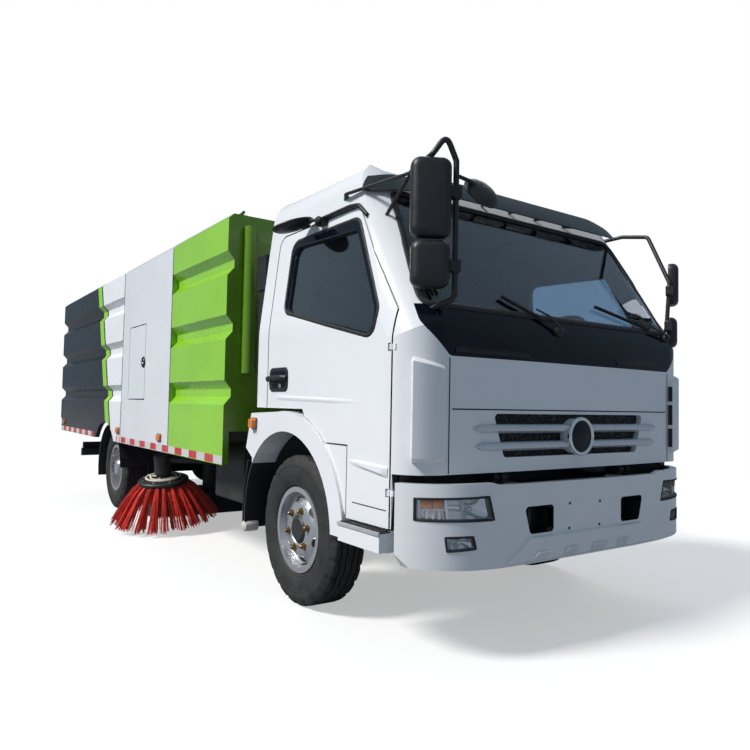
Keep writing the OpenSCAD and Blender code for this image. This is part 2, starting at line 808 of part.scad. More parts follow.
module steering_wheel() {
  color("#1a1b1c") from_axle() translate(wheel_centre) rotate([0, -column_lean, 0]) difference() {
    union() {
      rotate_extrude() translate([215, 0]) circle(14);
      cylinder(r = 50, h = 40, center = true);
      for (a = [0, 120, 240])
        rotate(a) block([30, -14, -7], [212, 14, 7]);
    }
    translate([0, 0, -55]) cylinder(r = 12 + pin_gap, h = 65);
  }
}

module air_intake() {
  color("#141516") from_axle() {
    block([-555, -975, 1120], [-455, -885, 1780]);
    block([-565, -985, 1780], [-445, -875, 1990]);
    block([-456, -950, 1200], [cab_rear, -910, 1260]);
    block([-456, -950, 1600], [cab_rear, -910, 1660]);
  }
}

module curb_mirror() {
  $fn = 20;
  color("#141516") from_axle() difference() {
    union() {
      rod([205, -900, door_top - 50], [205, -cab_half_width - 90, door_top - 35], 12);
      front_slab(170, 250)
        rounded(box_rows([-cab_half_width - 175, door_top - 90], [-cab_half_width - 35, door_top + 25], 30));
    }
    cab_form(0);
  }
}

// Bumper
bumper_half = cab_half_width + 45;
bumper_end = 950;
function bumper_plan(back) = [[back, -bumper_half, 0], [front_overhang - 32, -bumper_half, 400],
  [front_overhang, -380, 0], [front_overhang, 380, 0], [front_overhang - 32, bumper_half, 400],
    [back, bumper_half, 0]];
bumper_rows = [[-1100, 560, 0], [-990, 406, 0], [-600, 388, 0], [600, 388, 0], [990, 406, 0], [1100, 560, 0],
  [1100, panel_bottom - 35, 0], [640, panel_bottom - 35, 0], [590, panel_bottom - 48, 0],
  [-590, panel_bottom - 48, 0], [-640, panel_bottom - 35, 0], [-1100, panel_bottom - 35, 0]];
lamp_rows = [[628, 595, 15], [980, 605, 0], [980, 703, 0], [661, 707, 15]];
fog_rows = [[730, 481, 12], [868, 475, 12], [877, 542, 12], [747, 541, 12]];

module bumper() {
  color("#e9ebec") from_axle() {
    difference() {
      intersection() {
        plan_slab(300, 900) rounded(bumper_plan(200));
        front_slab(bumper_end, 1300) rounded(bumper_rows);
      }
      plan_slab(200, 1000) rounded(shrink(bumper_plan(100), 35));
      both() {
        front_slab(bumper_end, 1300) rounded(lamp_rows);
        front_slab(bumper_end, 1300) rounded(fog_rows);
        front_slab(1000, 1300) rounded([[258, 519, 20], [416, 519, 20], [451, 644, 20], [258, 644, 20]]);
      }
    }
    both() block([rail_front, rail_in, 655], [front_overhang - 30, rail_y, 735]);
  }
}

module front_lamps() {
  color("#c9d3d6") from_axle() both() intersection() {
    difference() {
      plan_slab(300, 900) rounded(shrink(bumper_plan(200), 3));
      plan_slab(200, 1000) rounded(shrink(bumper_plan(100), 32));
    }
    union() {
      front_slab(bumper_end, 1300) rounded(lamp_rows);
      front_slab(bumper_end, 1300) rounded(fog_rows);
    }
  }
}

// Body
function groove(z) = [[body_half_width, z],
  [body_half_width - groove_depth, z + (groove_open - groove_flat) / 2],
  [body_half_width - groove_depth, z + (groove_open + groove_flat) / 2], [body_half_width, z + groove_open]];
function half_section(grooved) = concat([[body_half_width - skirt_t, body_floor], [body_half_width - skirt_t,
  skirt_bottom], [body_half_width, skirt_bottom]], grooved ? [for (z = groove_rows) each groove(z)] : [],
  [[body_half_width, body_top - 35], [body_half_width - 35, body_top]]);
function flip_rows(p) = [for (i = [len(p) - 1:-1:0]) [-p[i][0], p[i][1]]];
function body_section(grooved) = concat(half_section(grooved), flip_rows(half_section(grooved)));

module body_length(x0, x1, grooved) {
  front_slab(x0, x1) polygon(body_section(grooved));
}

module body_hollow(x0, x1) {
  half = body_half_width - body_wall;
  block([x0, -half, body_floor + 50], [x1, half, body_top - 40]);
}

module engine_housing() {
  pipe_y = 139 - body_half_width;
  color("#8fc31f") from_axle() {
    difference() {
      body_length(housing_end, body_front, true);
      body_hollow(housing_end - 1, body_front - 40);
    }
    post(body_front + 42, pipe_y, 42, body_floor + 373, body_top - 80);
    for (z = [body_floor + 430, body_top - 160])
      block([body_front - 5, pipe_y - 24, z], [body_front + 20, pipe_y + 24, z + 40]);
  }
}

module aux_engine() {
  color("#3a3d40") from_axle() {
    block([housing_end + 150, -350, body_floor + 50], [body_front - 190, 350, body_top - 550]);
    bar_y(housing_end + 420, body_top - 800, 300, 350, 650);
  }
}

hatch_x0 = housing_end - 1150;
hatch_z0 = body_floor + 190;
hatch_z1 = body_top - 560;
hatch_gap = door_gap + 2;
hatch_hinge = [hatch_x0 + hatch_gap + 10, -body_half_width + 10];
hatch_pin_r = 5;

module tank_module() {
  half = [[body_half_width, body_floor], [body_half_width, body_top - 35], [body_half_width - 35, body_top]];
  color("#e9ebec") from_axle() {
    difference() {
      front_slab(tank_end, housing_end) polygon(concat(half, flip_rows(half)));
      block([hatch_x0, -body_half_width - 100, hatch_z0], [hatch_x0 + 500, -body_half_width + 450, hatch_z1]);
    }
    post(hatch_hinge[0], hatch_hinge[1], hatch_pin_r, hatch_z0 - 10, hatch_z0 + hatch_gap + 25);
    post(hatch_hinge[0], hatch_hinge[1], hatch_pin_r, hatch_z1 - hatch_gap - 25, hatch_z1 + 10);
  }
}

module tank_skirts() {
  color("#e9ebec") from_axle() both()
    block([tank_end, body_half_width - skirt_t, skirt_bottom], [housing_end, body_half_width, body_floor]);
}

module hatch() {
  color("#e9ebec") from_axle() difference() {
    block([hatch_x0 + hatch_gap, -body_half_width, hatch_z0 + hatch_gap],
      [hatch_x0 + 500 - hatch_gap, -body_half_width + 30, hatch_z1 - hatch_gap]);
    post(hatch_hinge[0], hatch_hinge[1], hatch_pin_r + pin_gap, hatch_z0 - 10, hatch_z0 + hatch_gap + 30);
    post(hatch_hinge[0], hatch_hinge[1], hatch_pin_r + pin_gap, hatch_z1 - hatch_gap - 30, hatch_z1 + 10);
  }
}

module suction_duct() {
  color("#1c1d1f") from_axle() difference() {
    post(duct_x, duct_y, duct_r + 10, 470, body_floor);
    post(duct_x, duct_y, duct_r, 469, body_floor + 1);
  }
}

module roof_cover() {
  color("#c9ccce") from_axle() {
    translate([-1250, -150, body_top]) cylinder(r1 = 260, r2 = 200, h = 40);
    block([-960, -1000, body_top], [-840, -940, body_top + 25]);
    rod([-960, -970, body_top + 22], [-830, -970, body_top + 40], 10);
  }
}

module hopper() {
  color("#35383a") from_axle() {
    difference() {
      body_length(hopper_rear, hopper_front, true);
      body_hollow(hopper_rear - 1, hopper_front - 40);
      bar_y(-wheelbase, wheel_z, wheel_z + 62, -1300, 1300);
    }
    both() difference() {
      block([tip_x - 40, rail_y + 6, tip_z - 35], [tip_x + 40, rail_y + 30, body_floor + 1]);
      bar_y(tip_x, tip_z, tip_pin_r + pin_gap, rail_y, rail_y + 50);
    }
    both() {
      block([gate_x, gate_y, body_top - 5], [gate_x + 60, gate_y + 30, gate_z]);
      bar_y(gate_x, gate_z, 25, gate_y, gate_y + 30);
      bar_y(gate_x, gate_z, gate_pin_r, gate_y + 29, gate_y + 80);
    }
    for (s = [-1, 1])
      for (e = [-1, 1])
        block([lift_eye[0] - 45, s * lift_y + e * 55 - 10, lift_eye[2] - 45],
          [lift_eye[0] + 45, s * lift_y + e * 55 + 10, body_floor + 1]);
  }
}

module tailgate() {
  color("#35383a") from_axle() {
    intersection() {
      body_length(body_rear, body_rear + tailgate_t, true);
      block([body_rear, -body_half_width - 100, body_floor - 60], [0, body_half_width + 100, body_top + 100]);
    }
    both() difference() {
      union() {
        block([gate_x - 40, gate_y + 40, body_top - 20], [gate_x, gate_y + 70, gate_z]);
        bar_y(gate_x, gate_z, 25, gate_y + 40, gate_y + 70);
      }
      bar_y(gate_x, gate_z, gate_pin_r + pin_gap, gate_y + 30, gate_y + 90);
    }
  }
}

lift_dir = unit(lift_eye - lift_base);
lift_len = norm(lift_eye - lift_base);

module along_lift() {
  translate([lift_base[0], lift_y, lift_base[2]])
    rotate([0, acos(lift_dir[2]), atan2(lift_dir[1], lift_dir[0])]) children();
}

module lift_barrels() {
  mouth = lift_len - 260;
  bore = lift_rod_r + pin_gap;
  color("#4a4d50") from_axle() both() {
    along_lift() rotate_extrude() polygon([[0, 35], [32, 35], [32, 100], [55, 100], [55, mouth],
      [bore, mouth],
      [bore, 125], [0, 125]]);
    bar_y(lift_base[0], lift_base[2], 42, lift_y - 30, lift_y + 30);
    bar_y(lift_base[0], lift_base[2], 25, lift_y - 62, lift_y - 29);
    bar_y(lift_base[0], lift_base[2], 25, lift_y + 29, lift_y + 62);
  }
}

module lift_rods() {
  color("#b9bcbe") from_axle() both() translate([0, lift_y, 0]) {
    rod(lift_base + 130 * lift_dir, lift_eye, lift_rod_r);
    bar_y(lift_eye[0], lift_eye[2], 40, -25, 25);
  }
}

// Sweeping gear
module at_brush() {
  translate([brush_x, brush_y, brush_z]) rotate(a = brush_tilt, v = [-1, 1, 0]) children();
}

module brush() {
  at_brush() difference() {
    union() {
      rotate_extrude() polygon([[150, 0.5], [200, 0.5], [brush_r, -brush_depth],
        [brush_r - 110, -brush_depth]]);
      cylinder(r = 205, h = 30);
      cylinder(r = 60, h = 70);
    }
    translate([0, 0, -1]) cylinder(r = 20 + pin_gap, h = 80);
  }
}

module brush_arm() {
  difference() {
    union() {
      rod([arm_x, rail_y + 170, arm_z], [brush_x, brush_y, brush_z + 190], 32);
      bar_y(arm_x, arm_z, 45, rail_y + 105, rail_y + 235);
    }
    bar_y(arm_x, arm_z, king_r + pin_gap, rail_y, rail_y + 300);
  }
  at_brush() {
    translate([0, 0, 75]) cylinder(r = 70, h = 160);
    translate([0, 0, 10]) cylinder(r = 20, h = 70);
  }
}

module brush_arm_left() { color("#26282a") from_axle() brush_arm(); }
module brush_arm_right() { color("#26282a") from_axle() mirror([0, 1, 0]) brush_arm(); }
module brush_left() { color("#c8231c") from_axle() brush(); }
module brush_right() { color("#c8231c") from_axle() mirror([0, 1, 0]) brush(); }

module suction_nozzle() {
  outer = [[duct_x - 160, ground_gap], [duct_x + 160, ground_gap], [duct_x + 130, 200], [duct_x + 110, 260],
    [duct_x - 110, 260], [duct_x - 140, 200]];
  color("#26282a") from_axle() difference() {
    union() {
      side_slab(-850, 850) polygon(outer);
      post(duct_x, duct_y, duct_r - pin_gap, 259, 600);
    }
    block([duct_x - 120, -830, 0], [duct_x + 120, 830, 185]);
    post(duct_x, duct_y, 88, 150, 601);
  }
}

frame_rails();
crossmembers();
front_axle();
rear_axle();
engine();
propshaft();
side_tanks();
bumper();
front_lamps();
mudguards();
underrun_bar();
rear_lamps();
engine_housing();
aux_engine();
tank_module();
tank_skirts();
suction_duct();
roof_cover();
cab_shell();
cab_glass();
cowl_panel();
front_panel();
grille();
sun_visor();
mirrors();
fenders();
steps();
cab_interior();
air_intake();
door_right();
door_glass_right();
curb_mirror();
door_left();
door_glass_left();
steering_wheel();
knuckle_left();
knuckle_right();
tie_rod();
tyre_front_left();
rim_front_left();
tyre_front_right();
rim_front_right();
tyre_rear_left();
rim_rear_left();
tyre_rear_right();
rim_rear_right();
hatch();
hopper();
tailgate();
lift_barrels();
lift_rods();
brush_arm_right();
brush_right();
brush_arm_left();
brush_left();
suction_nozzle();
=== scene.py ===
"""Looks of the street sweeper truck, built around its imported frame.

Lengths are millimetres from the front axle.
"""

import math
import random

import bmesh
import bpy
from mathutils import Matrix, Vector
from mathutils.bvhtree import BVHTree


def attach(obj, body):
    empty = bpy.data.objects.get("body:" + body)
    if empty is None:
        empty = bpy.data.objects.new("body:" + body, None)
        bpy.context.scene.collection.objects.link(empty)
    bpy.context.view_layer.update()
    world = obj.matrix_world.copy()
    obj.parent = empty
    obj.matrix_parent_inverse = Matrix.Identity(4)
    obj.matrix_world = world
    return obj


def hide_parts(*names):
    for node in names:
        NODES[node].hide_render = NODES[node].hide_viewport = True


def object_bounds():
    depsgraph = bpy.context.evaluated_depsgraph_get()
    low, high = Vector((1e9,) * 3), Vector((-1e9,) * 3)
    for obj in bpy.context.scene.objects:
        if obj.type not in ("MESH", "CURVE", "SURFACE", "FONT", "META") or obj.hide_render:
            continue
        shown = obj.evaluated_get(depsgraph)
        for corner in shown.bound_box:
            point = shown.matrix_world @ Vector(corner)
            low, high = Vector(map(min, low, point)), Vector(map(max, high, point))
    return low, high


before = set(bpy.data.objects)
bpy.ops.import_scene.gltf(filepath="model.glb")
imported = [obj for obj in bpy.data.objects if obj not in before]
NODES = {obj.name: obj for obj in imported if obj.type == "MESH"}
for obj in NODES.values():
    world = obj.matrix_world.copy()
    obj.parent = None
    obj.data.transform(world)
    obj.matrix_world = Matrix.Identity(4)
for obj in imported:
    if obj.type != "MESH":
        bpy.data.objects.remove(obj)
cad_low, cad_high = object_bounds()
AXLE_X = 2460.0
SIDES = (("right", -1), ("left", 1))
scene = bpy.context.scene
rng = random.Random(7)


def row(p):
    """A point in millimetres from the front axle, in the row frame in metres."""
    return Vector(((p[0] + AXLE_X) / 1000, p[1] / 1000, p[2] / 1000))


def axle(v):
    """A row point in metres, in millimetres from the front axle."""
    return Vector((v[0] * 1000 - AXLE_X, v[1] * 1000, v[2] * 1000))


# Materials


def tree(name):
    m = bpy.data.materials.new(name)
    m.use_nodes = True
    nt = m.node_tree
    return m, nt, nt.nodes["Principled BSDF"]


def node(nt, kind, **values):
    n = nt.nodes.new(kind)
    for k, v in values.items():
        if k in n.inputs:
            n.inputs[k].default_value = v
        else:
            setattr(n, k, v)
    return n


def coords(nt):
    return nt.nodes.new("ShaderNodeTexCoord").outputs["Object"]


def noise(nt, where, scale, detail=3.0, rough=0.55):
    n = node(nt, "ShaderNodeTexNoise", Scale=scale, Detail=detail, Roughness=rough)
    nt.links.new(where, n.inputs["Vector"])
    return n.outputs["Fac"]


def ranged(nt, value, a, b, lo, hi):
    n = nt.nodes.new("ShaderNodeMapRange")
    for k, v in (("From Min", a), ("From Max", b), ("To Min", lo), ("To Max", hi)):
        n.inputs[k].default_value = v
    nt.links.new(value, n.inputs["Value"])
    return n.outputs["Result"]


def calc(nt, op, a, b=None, c=None):
    n = nt.nodes.new("ShaderNodeMath")
    n.operation = op
    for i, v in enumerate((a, b, c)):
        if v is None:
            continue
        if isinstance(v, (int, float)):
            n.inputs[i].default_value = v
        else:
            nt.links.new(v, n.inputs[i])
    return n.outputs[0]


def mixed(nt, fac, a, b):
    n = nt.nodes.new("ShaderNodeMix")
    n.data_type = "RGBA"
    nt.links.new(fac, n.inputs["Factor"])
    for i, v in ((6, a), (7, b)):
        if isinstance(v, (tuple, list)):
            n.inputs[i].default_value = (*v[:3], 1)
        else:
            nt.links.new(v, n.inputs[i])
    return n.outputs[2]


def shade(c, k):
    return tuple(min(1.0, x * k) for x in c[:3])


def bumped(nt, bsdf, height, strength, distance):
    b = node(nt, "ShaderNodeBump", Strength=strength, Distance=distance)
    nt.links.new(height, b.inputs["Height"])
    nt.links.new(b.outputs["Normal"], bsdf.inputs["Normal"])


def surface(nt, bsdf, base, rough, **values):
    """Links a colour and a roughness to a shader, and sets inputs named with _ for each space."""
    nt.links.new(base, bsdf.inputs["Base Color"])
    nt.links.new(rough, bsdf.inputs["Roughness"])
    for k, v in values.items():
        bsdf.inputs[k.replace("_", " ")].default_value = v


def x_and_z(nt, at):
    split = nt.nodes.new("ShaderNodeSeparateXYZ")
    nt.links.new(at, split.inputs[0])
    return split.outputs["X"], split.outputs["Z"]


COAT_ROUGH = 0.06


def finish(name, colour, rough=0.4, metal=0.0, coat=0.0, vary=0.08, patch=2.5, grain=180.0, bump=0.15,
           depth=0.0004, dust=0.0, dust_top=0.9, spread=0.08, dust_colour=(0.30, 0.28, 0.25), shine=0.5):
    """A painted, moulded or bare surface: cloudy colour, uneven gloss, fine grain, and dust low down."""
    m, nt, b = tree(name)
    at = coords(nt)
    cloud = ranged(nt, noise(nt, at, patch, 4.0), 0.35, 0.65, 0, 1)
    base = mixed(nt, cloud, shade(colour, 1 - vary), shade(colour, 1 + vary))
    gloss = ranged(nt, noise(nt, at, patch * 9, 5.0), 0.3, 0.7, max(0.02, rough - spread),
                   min(1, rough + spread))
    if dust > 0:
        low = ranged(nt, x_and_z(nt, at)[1], 0.15, dust_top, dust, 0.0)
        grime = calc(nt, "MULTIPLY", low, ranged(nt, noise(nt, at, 7.0, 6.0, 0.7), 0.3, 0.65, 0.15, 1.0))
        base = mixed(nt, grime, base, dust_colour)
        gloss = calc(nt, "ADD", gloss, calc(nt, "MULTIPLY", grime, 0.35))
    surface(nt, b, base, gloss, Metallic=metal, Specular_IOR_Level=shine, Coat_Weight=coat,
            Coat_Roughness=COAT_ROUGH)
    bumped(nt, b, noise(nt, at, grain, 2.0), bump, depth)
    return m


WHITE = (0.80, 0.815, 0.84)
LIME = (0.285, 0.62, 0.026)
CHARCOAL = (0.014, 0.015, 0.017)
SMOOTH = {"grain": 90, "bump": 0.01, "spread": 0.03}
LENS = {"coat": 0.6, "patch": 30, "grain": 230, "bump": 0.5, "depth": 0.0012}

white_paint = finish("white_paint", WHITE, 0.24, coat=0.5, vary=0.015, dust=0.10, dust_top=0.8, **SMOOTH)
green_paint = finish("green_paint", LIME, 0.26, coat=0.5, vary=0.04, dust=0.05, **SMOOTH)
# Painted shade: a darker copy of the lime paint, for the engine housing's front wall in the cab's shadow.
green_painted_shade = finish("green_painted_shade", shade(LIME, 0.42), 0.3, coat=0.3, vary=0.08, grain=90, bump=0.01,
                     dust=0.1)
dark_steel = finish("dark_steel", (0.020, 0.021, 0.022), 0.5, 0.1, vary=0.3, patch=5, bump=0.3, dust=0.35,
                    dust_top=0.7, dust_colour=(0.10, 0.095, 0.085))
black_plastic = finish("black_plastic", (0.014, 0.014, 0.016), 0.46, vary=0.25, grain=700, bump=0.35,
                       depth=0.0003, dust=0.15, dust_top=0.7, dust_colour=(0.09, 0.085, 0.08))
gloss_black = finish("gloss_black", (0.003, 0.005, 0.010), 0.10, coat=0.05, vary=0.2, grain=60, bump=0.02,
                     spread=0.04, shine=0.25)
rubber = finish("seal_rubber", (0.012, 0.012, 0.013), 0.62, vary=0.25, grain=500, bump=0.3)
grey_plastic = finish("grey_plastic", (0.10, 0.105, 0.112), 0.42, vary=0.12, grain=500, bump=0.25)
silver = finish("silver_paint", (0.58, 0.59, 0.61), 0.30, 0.75, coat=0.2, vary=0.07, patch=6, grain=120,
                bump=0.06, dust=0.18, dust_top=0.8)
chrome = finish("chrome", (0.80, 0.82, 0.84), 0.07, 1.0, vary=0.05, grain=40, bump=0.02, spread=0.03)
brass = finish("gold_nut", (0.30, 0.215, 0.10), 0.42, 1.0, vary=0.18, patch=40, grain=400, bump=0.2)
steel_rod = finish("bright_rod", (0.62, 0.63, 0.64), 0.18, 1.0, vary=0.06, grain=150, bump=0.05)
visor_grey = finish("visor_grey", (0.020, 0.021, 0.026), 0.26, coat=0.2, vary=0.15, grain=300, bump=0.08)
pale_cap = finish("pale_cap", (0.62, 0.60, 0.55), 0.5, vary=0.12, patch=9, grain=260, bump=0.2)
step_grey = finish("step_grey", (0.50, 0.51, 0.53), 0.45, 0.3, vary=0.1, patch=8, bump=0.15, dust=0.3)
cab_trim = finish("cab_trim", (0.045, 0.047, 0.052), 0.6, vary=0.15, grain=350, bump=0.4)
amber = finish("amber_lens", (0.72, 0.20, 0.012), 0.16, vary=0.22, **LENS)
red_lens = finish("red_lens", (0.50, 0.014, 0.010), 0.16, vary=0.2, **LENS)
ring_paint = finish("ring_paint", (0.66, 0.62, 0.52), 0.5, vary=0.2, patch=14, grain=200, bump=0.25)
reflector = finish("reflector", (0.92, 0.94, 0.97), 0.16, 0.65, vary=0.06, patch=20, grain=60, bump=0.05,
                   spread=0.06)
dark_mirror = finish("dark_mirror", (0.05, 0.055, 0.06), 0.06, 1.0, vary=0.1, grain=20, bump=0.01,
                     spread=0.02)
bar_silver = finish("bar_silver", (0.60, 0.63, 0.68), 0.28, 0.35, coat=0.4, vary=0.03, **SMOOTH)
mirror_glass = finish("mirror_glass", (0.72, 0.75, 0.78), 0.03, 1.0, vary=0.03, grain=20, bump=0.01,
                      spread=0.01)
lamp_white = finish("lamp_white", (0.74, 0.76, 0.78), 0.18, 0.5, coat=0.5, vary=0.12, patch=30, grain=140,
                    bump=0.5, depth=0.001)


def fabric(name, colour):
    """Woven seat cloth: two crossed waves for the weave and a soft sheen."""
    m, nt, b = tree(name)
    at = coords(nt)
    weave = []
    for axis in ("X", "Z"):
        w = node(nt, "ShaderNodeTexWave", Scale=160.0, Distortion=1.5, bands_direction=axis)
        nt.links.new(at, w.inputs["Vector"])
        weave.append(w.outputs["Fac"])
    cross = calc(nt, "MULTIPLY", *weave)
    cloud = noise(nt, at, 9.0, 4.0)
    both = calc(nt, "ADD", calc(nt, "MULTIPLY", cross, 0.5), calc(nt, "MULTIPLY", cloud, 0.5))
    surface(nt, b, mixed(nt, both, shade(colour, 0.7), shade(colour, 1.5)),
            ranged(nt, cloud, 0.3, 0.7, 0.75, 0.95), Sheen_Weight=0.3)
    bumped(nt, b, cross, 0.4, 0.0008)
    return m


seat_cloth = fabric("seat_cloth", (0.060, 0.064, 0.072))


def glass(name, tint):
    """A tinted pane with faint waves."""
    m, nt, b = tree(name)
    at = coords(nt)
    haze = noise(nt, at, 4.0, 5.0)
    surface(nt, b, mixed(nt, haze, shade(tint, 0.92), shade(tint, 1.06)),
            ranged(nt, haze, 0.3, 0.7, 0.0, 0.03), Transmission_Weight=1.0, IOR=1.5)
    bumped(nt, b, noise(nt, at, 1.5, 1.0), 0.02, 0.001)
    return m


cab_glass = glass("cab_glass", (0.22, 0.31, 0.43))
door_glass = glass("door_glass", (0.42, 0.58, 0.70))
rear_glass = glass("rear_glass", (0.10, 0.12, 0.13))


def clear_sheet(name):
    """A thin clear lens: mostly see through, with a glossy skin and faint streaks."""
    m, nt, b = tree(name)
    at = coords(nt)
    haze = noise(nt, at, 12.0, 4.0)
    surface(nt, b, mixed(nt, haze, (0.85, 0.88, 0.90), (0.95, 0.97, 0.98)),
            ranged(nt, haze, 0.3, 0.7, 0.03, 0.07), Coat_Weight=1.0)
    nt.links.new(ranged(nt, haze, 0.3, 0.7, 0.10, 0.16), b.inputs["Alpha"])
    bumped(nt, b, noise(nt, at, 3.0, 1.0), 0.02, 0.001)
    return m


lens_clear = clear_sheet("lens_clear")

# The tank section is green ahead of its seam. On the hopper a slanted green band, edged in
# charcoal, stands at BAND_X at the height BAND_Z and leans back by BAND_LEAN.
SEAM_X = (-1831.5 + AXLE_X) / 1000
BAND_X, BAND_Z, BAND_LEAN = (-3618 + AXLE_X) / 1000, 0.832, 0.354
BAND_EDGE, BAND_WIDE = 0.045, 0.150


def livery(name, tipped):
    """White body panels with the tank section's green front, or the hopper's band and dark rear."""
    m, nt, b = tree(name)
    at = coords(nt)
    x, z = x_and_z(nt, at)
    cloud = ranged(nt, noise(nt, at, 2.5, 4.0), 0.35, 0.65, 0, 1)
    base = mixed(nt, cloud, shade(WHITE, 0.975), shade(WHITE, 1.02))
    if tipped:
        slant = calc(nt, "ADD", x, calc(nt, "MULTIPLY", calc(nt, "SUBTRACT", z, BAND_Z), BAND_LEAN))
        dark = mixed(nt, cloud, shade(CHARCOAL, 0.65), shade(CHARCOAL, 0.95))
        for edge, colour in ((BAND_X + BAND_EDGE, dark), (BAND_X, LIME), (BAND_X - BAND_WIDE, dark)):
            base = mixed(nt, calc(nt, "LESS_THAN", slant, edge), base, colour)
    else:
        base = mixed(nt, calc(nt, "GREATER_THAN", x, SEAM_X), base, shade(LIME, 0.8))
    grime = calc(nt, "MULTIPLY", ranged(nt, z, 0.6, 1.3, 0.16, 0.0), noise(nt, at, 6.0, 6.0, 0.7))
    surface(nt, b, mixed(nt, grime, base, (0.34, 0.32, 0.29)),
            ranged(nt, noise(nt, at, 20.0, 5.0), 0.3, 0.7, 0.22, 0.28), Coat_Weight=0.02 if tipped else 0.5,
            Specular_IOR_Level=0.12 if tipped else 0.5, Coat_Roughness=COAT_ROUGH)
    bumped(nt, b, noise(nt, at, 90.0, 2.0), 0.01, 0.0004)
    return m


tank_livery = livery("tank_livery", tipped=False)
hopper_livery = livery("hopper_livery", tipped=True)

TAPE_BLOCK, TAPE_START = 0.15, 10.078


def tape_material():
    """Red and white reflective tape in blocks along the truck, with a prism grain."""
    m, nt, b = tree("reflective_tape")
    at = coords(nt)
    run = calc(nt, "PINGPONG", calc(nt, "ADD", x_and_z(nt, at)[0], TAPE_START), TAPE_BLOCK)
    cell = node(nt, "ShaderNodeTexVoronoi", Scale=170.0)
    nt.links.new(at, cell.inputs["Vector"])
    dull = ranged(nt, noise(nt, at, 5.0, 6.0), 0.3, 0.7, 0.0, 0.22)
    base = mixed(nt, calc(nt, "GREATER_THAN", run, TAPE_BLOCK / 2), (0.62, 0.62, 0.60), (0.55, 0.020, 0.022))
    surface(nt, b, mixed(nt, dull, base, (0.30, 0.27, 0.24)),
            ranged(nt, cell.outputs["Distance"], 0.0, 0.6, 0.2, 0.45))
    bumped(nt, b, cell.outputs["Distance"], 0.25, 0.0004)
    return m


tape = tape_material()


def tyre_material():
    m, nt, b = tree("tyre_rubber")
    at = coords(nt)
    cloud = noise(nt, at, 9.0, 6.0, 0.65)
    base = mixed(nt, ranged(nt, cloud, 0.3, 0.7, 0, 1), (0.010, 0.010, 0.011), (0.034, 0.033, 0.032))
    surface(nt, b, base, ranged(nt, cloud, 0.3, 0.7, 0.62, 0.86))
    bumped(nt, b, noise(nt, at, 420.0, 3.0), 0.35, 0.0006)
    return m


tyre_rubber = tyre_material()


def bristle_material():
    m, nt, b = tree("red_bristle")
    at = coords(nt)
    tuft = noise(nt, at, 26.0, 3.0)
    streak = noise(nt, at, 160.0, 2.0)
    both = calc(nt, "ADD", calc(nt, "MULTIPLY", tuft, 0.6), calc(nt, "MULTIPLY", streak, 0.4))
    base = mixed(nt, ranged(nt, both, 0.3, 0.7, 0, 1), (0.48, 0.018, 0.014), (0.90, 0.085, 0.055))
    surface(nt, b, base, ranged(nt, tuft, 0.3, 0.7, 0.35, 0.6))
    bumped(nt, b, streak, 0.3, 0.0005)
    return m


bristle = bristle_material()


def mesh_screen():
    """Fine dark grille mesh: honeycomb holes painted near black as painted shade, between dark webs."""
    m, nt, b = tree("grille_mesh")
    at = coords(nt)
    cell = node(nt, "ShaderNodeTexVoronoi", Scale=62.0, feature="DISTANCE_TO_EDGE")
    nt.links.new(at, cell.inputs["Vector"])
    web = ranged(nt, cell.outputs["Distance"], 0.03, 0.12, 1.0, 0.0)
    # Painted shade: the cells stand for holes and are near black; the webs keep the mesh's own dark colour.
    surface(nt, b, mixed(nt, web, (0.004, 0.004, 0.005), (0.045, 0.047, 0.05)),
            ranged(nt, web, 0, 1, 0.9, 0.4))
    bumped(nt, b, web, 0.8, 0.003)
    return m


grille_mesh = mesh_screen()

# Mesh building


def ring_faces(rings, n, closed=False):
    """Faces between neighbouring rings of n points each."""
    faces = []
    for i in range(rings if closed else rings - 1):
        j = (i + 1) % rings
        faces += [[i * n + k, i * n + (k + 1) % n, j * n + (k + 1) % n, j * n + k] for k in range(n)]
    return faces


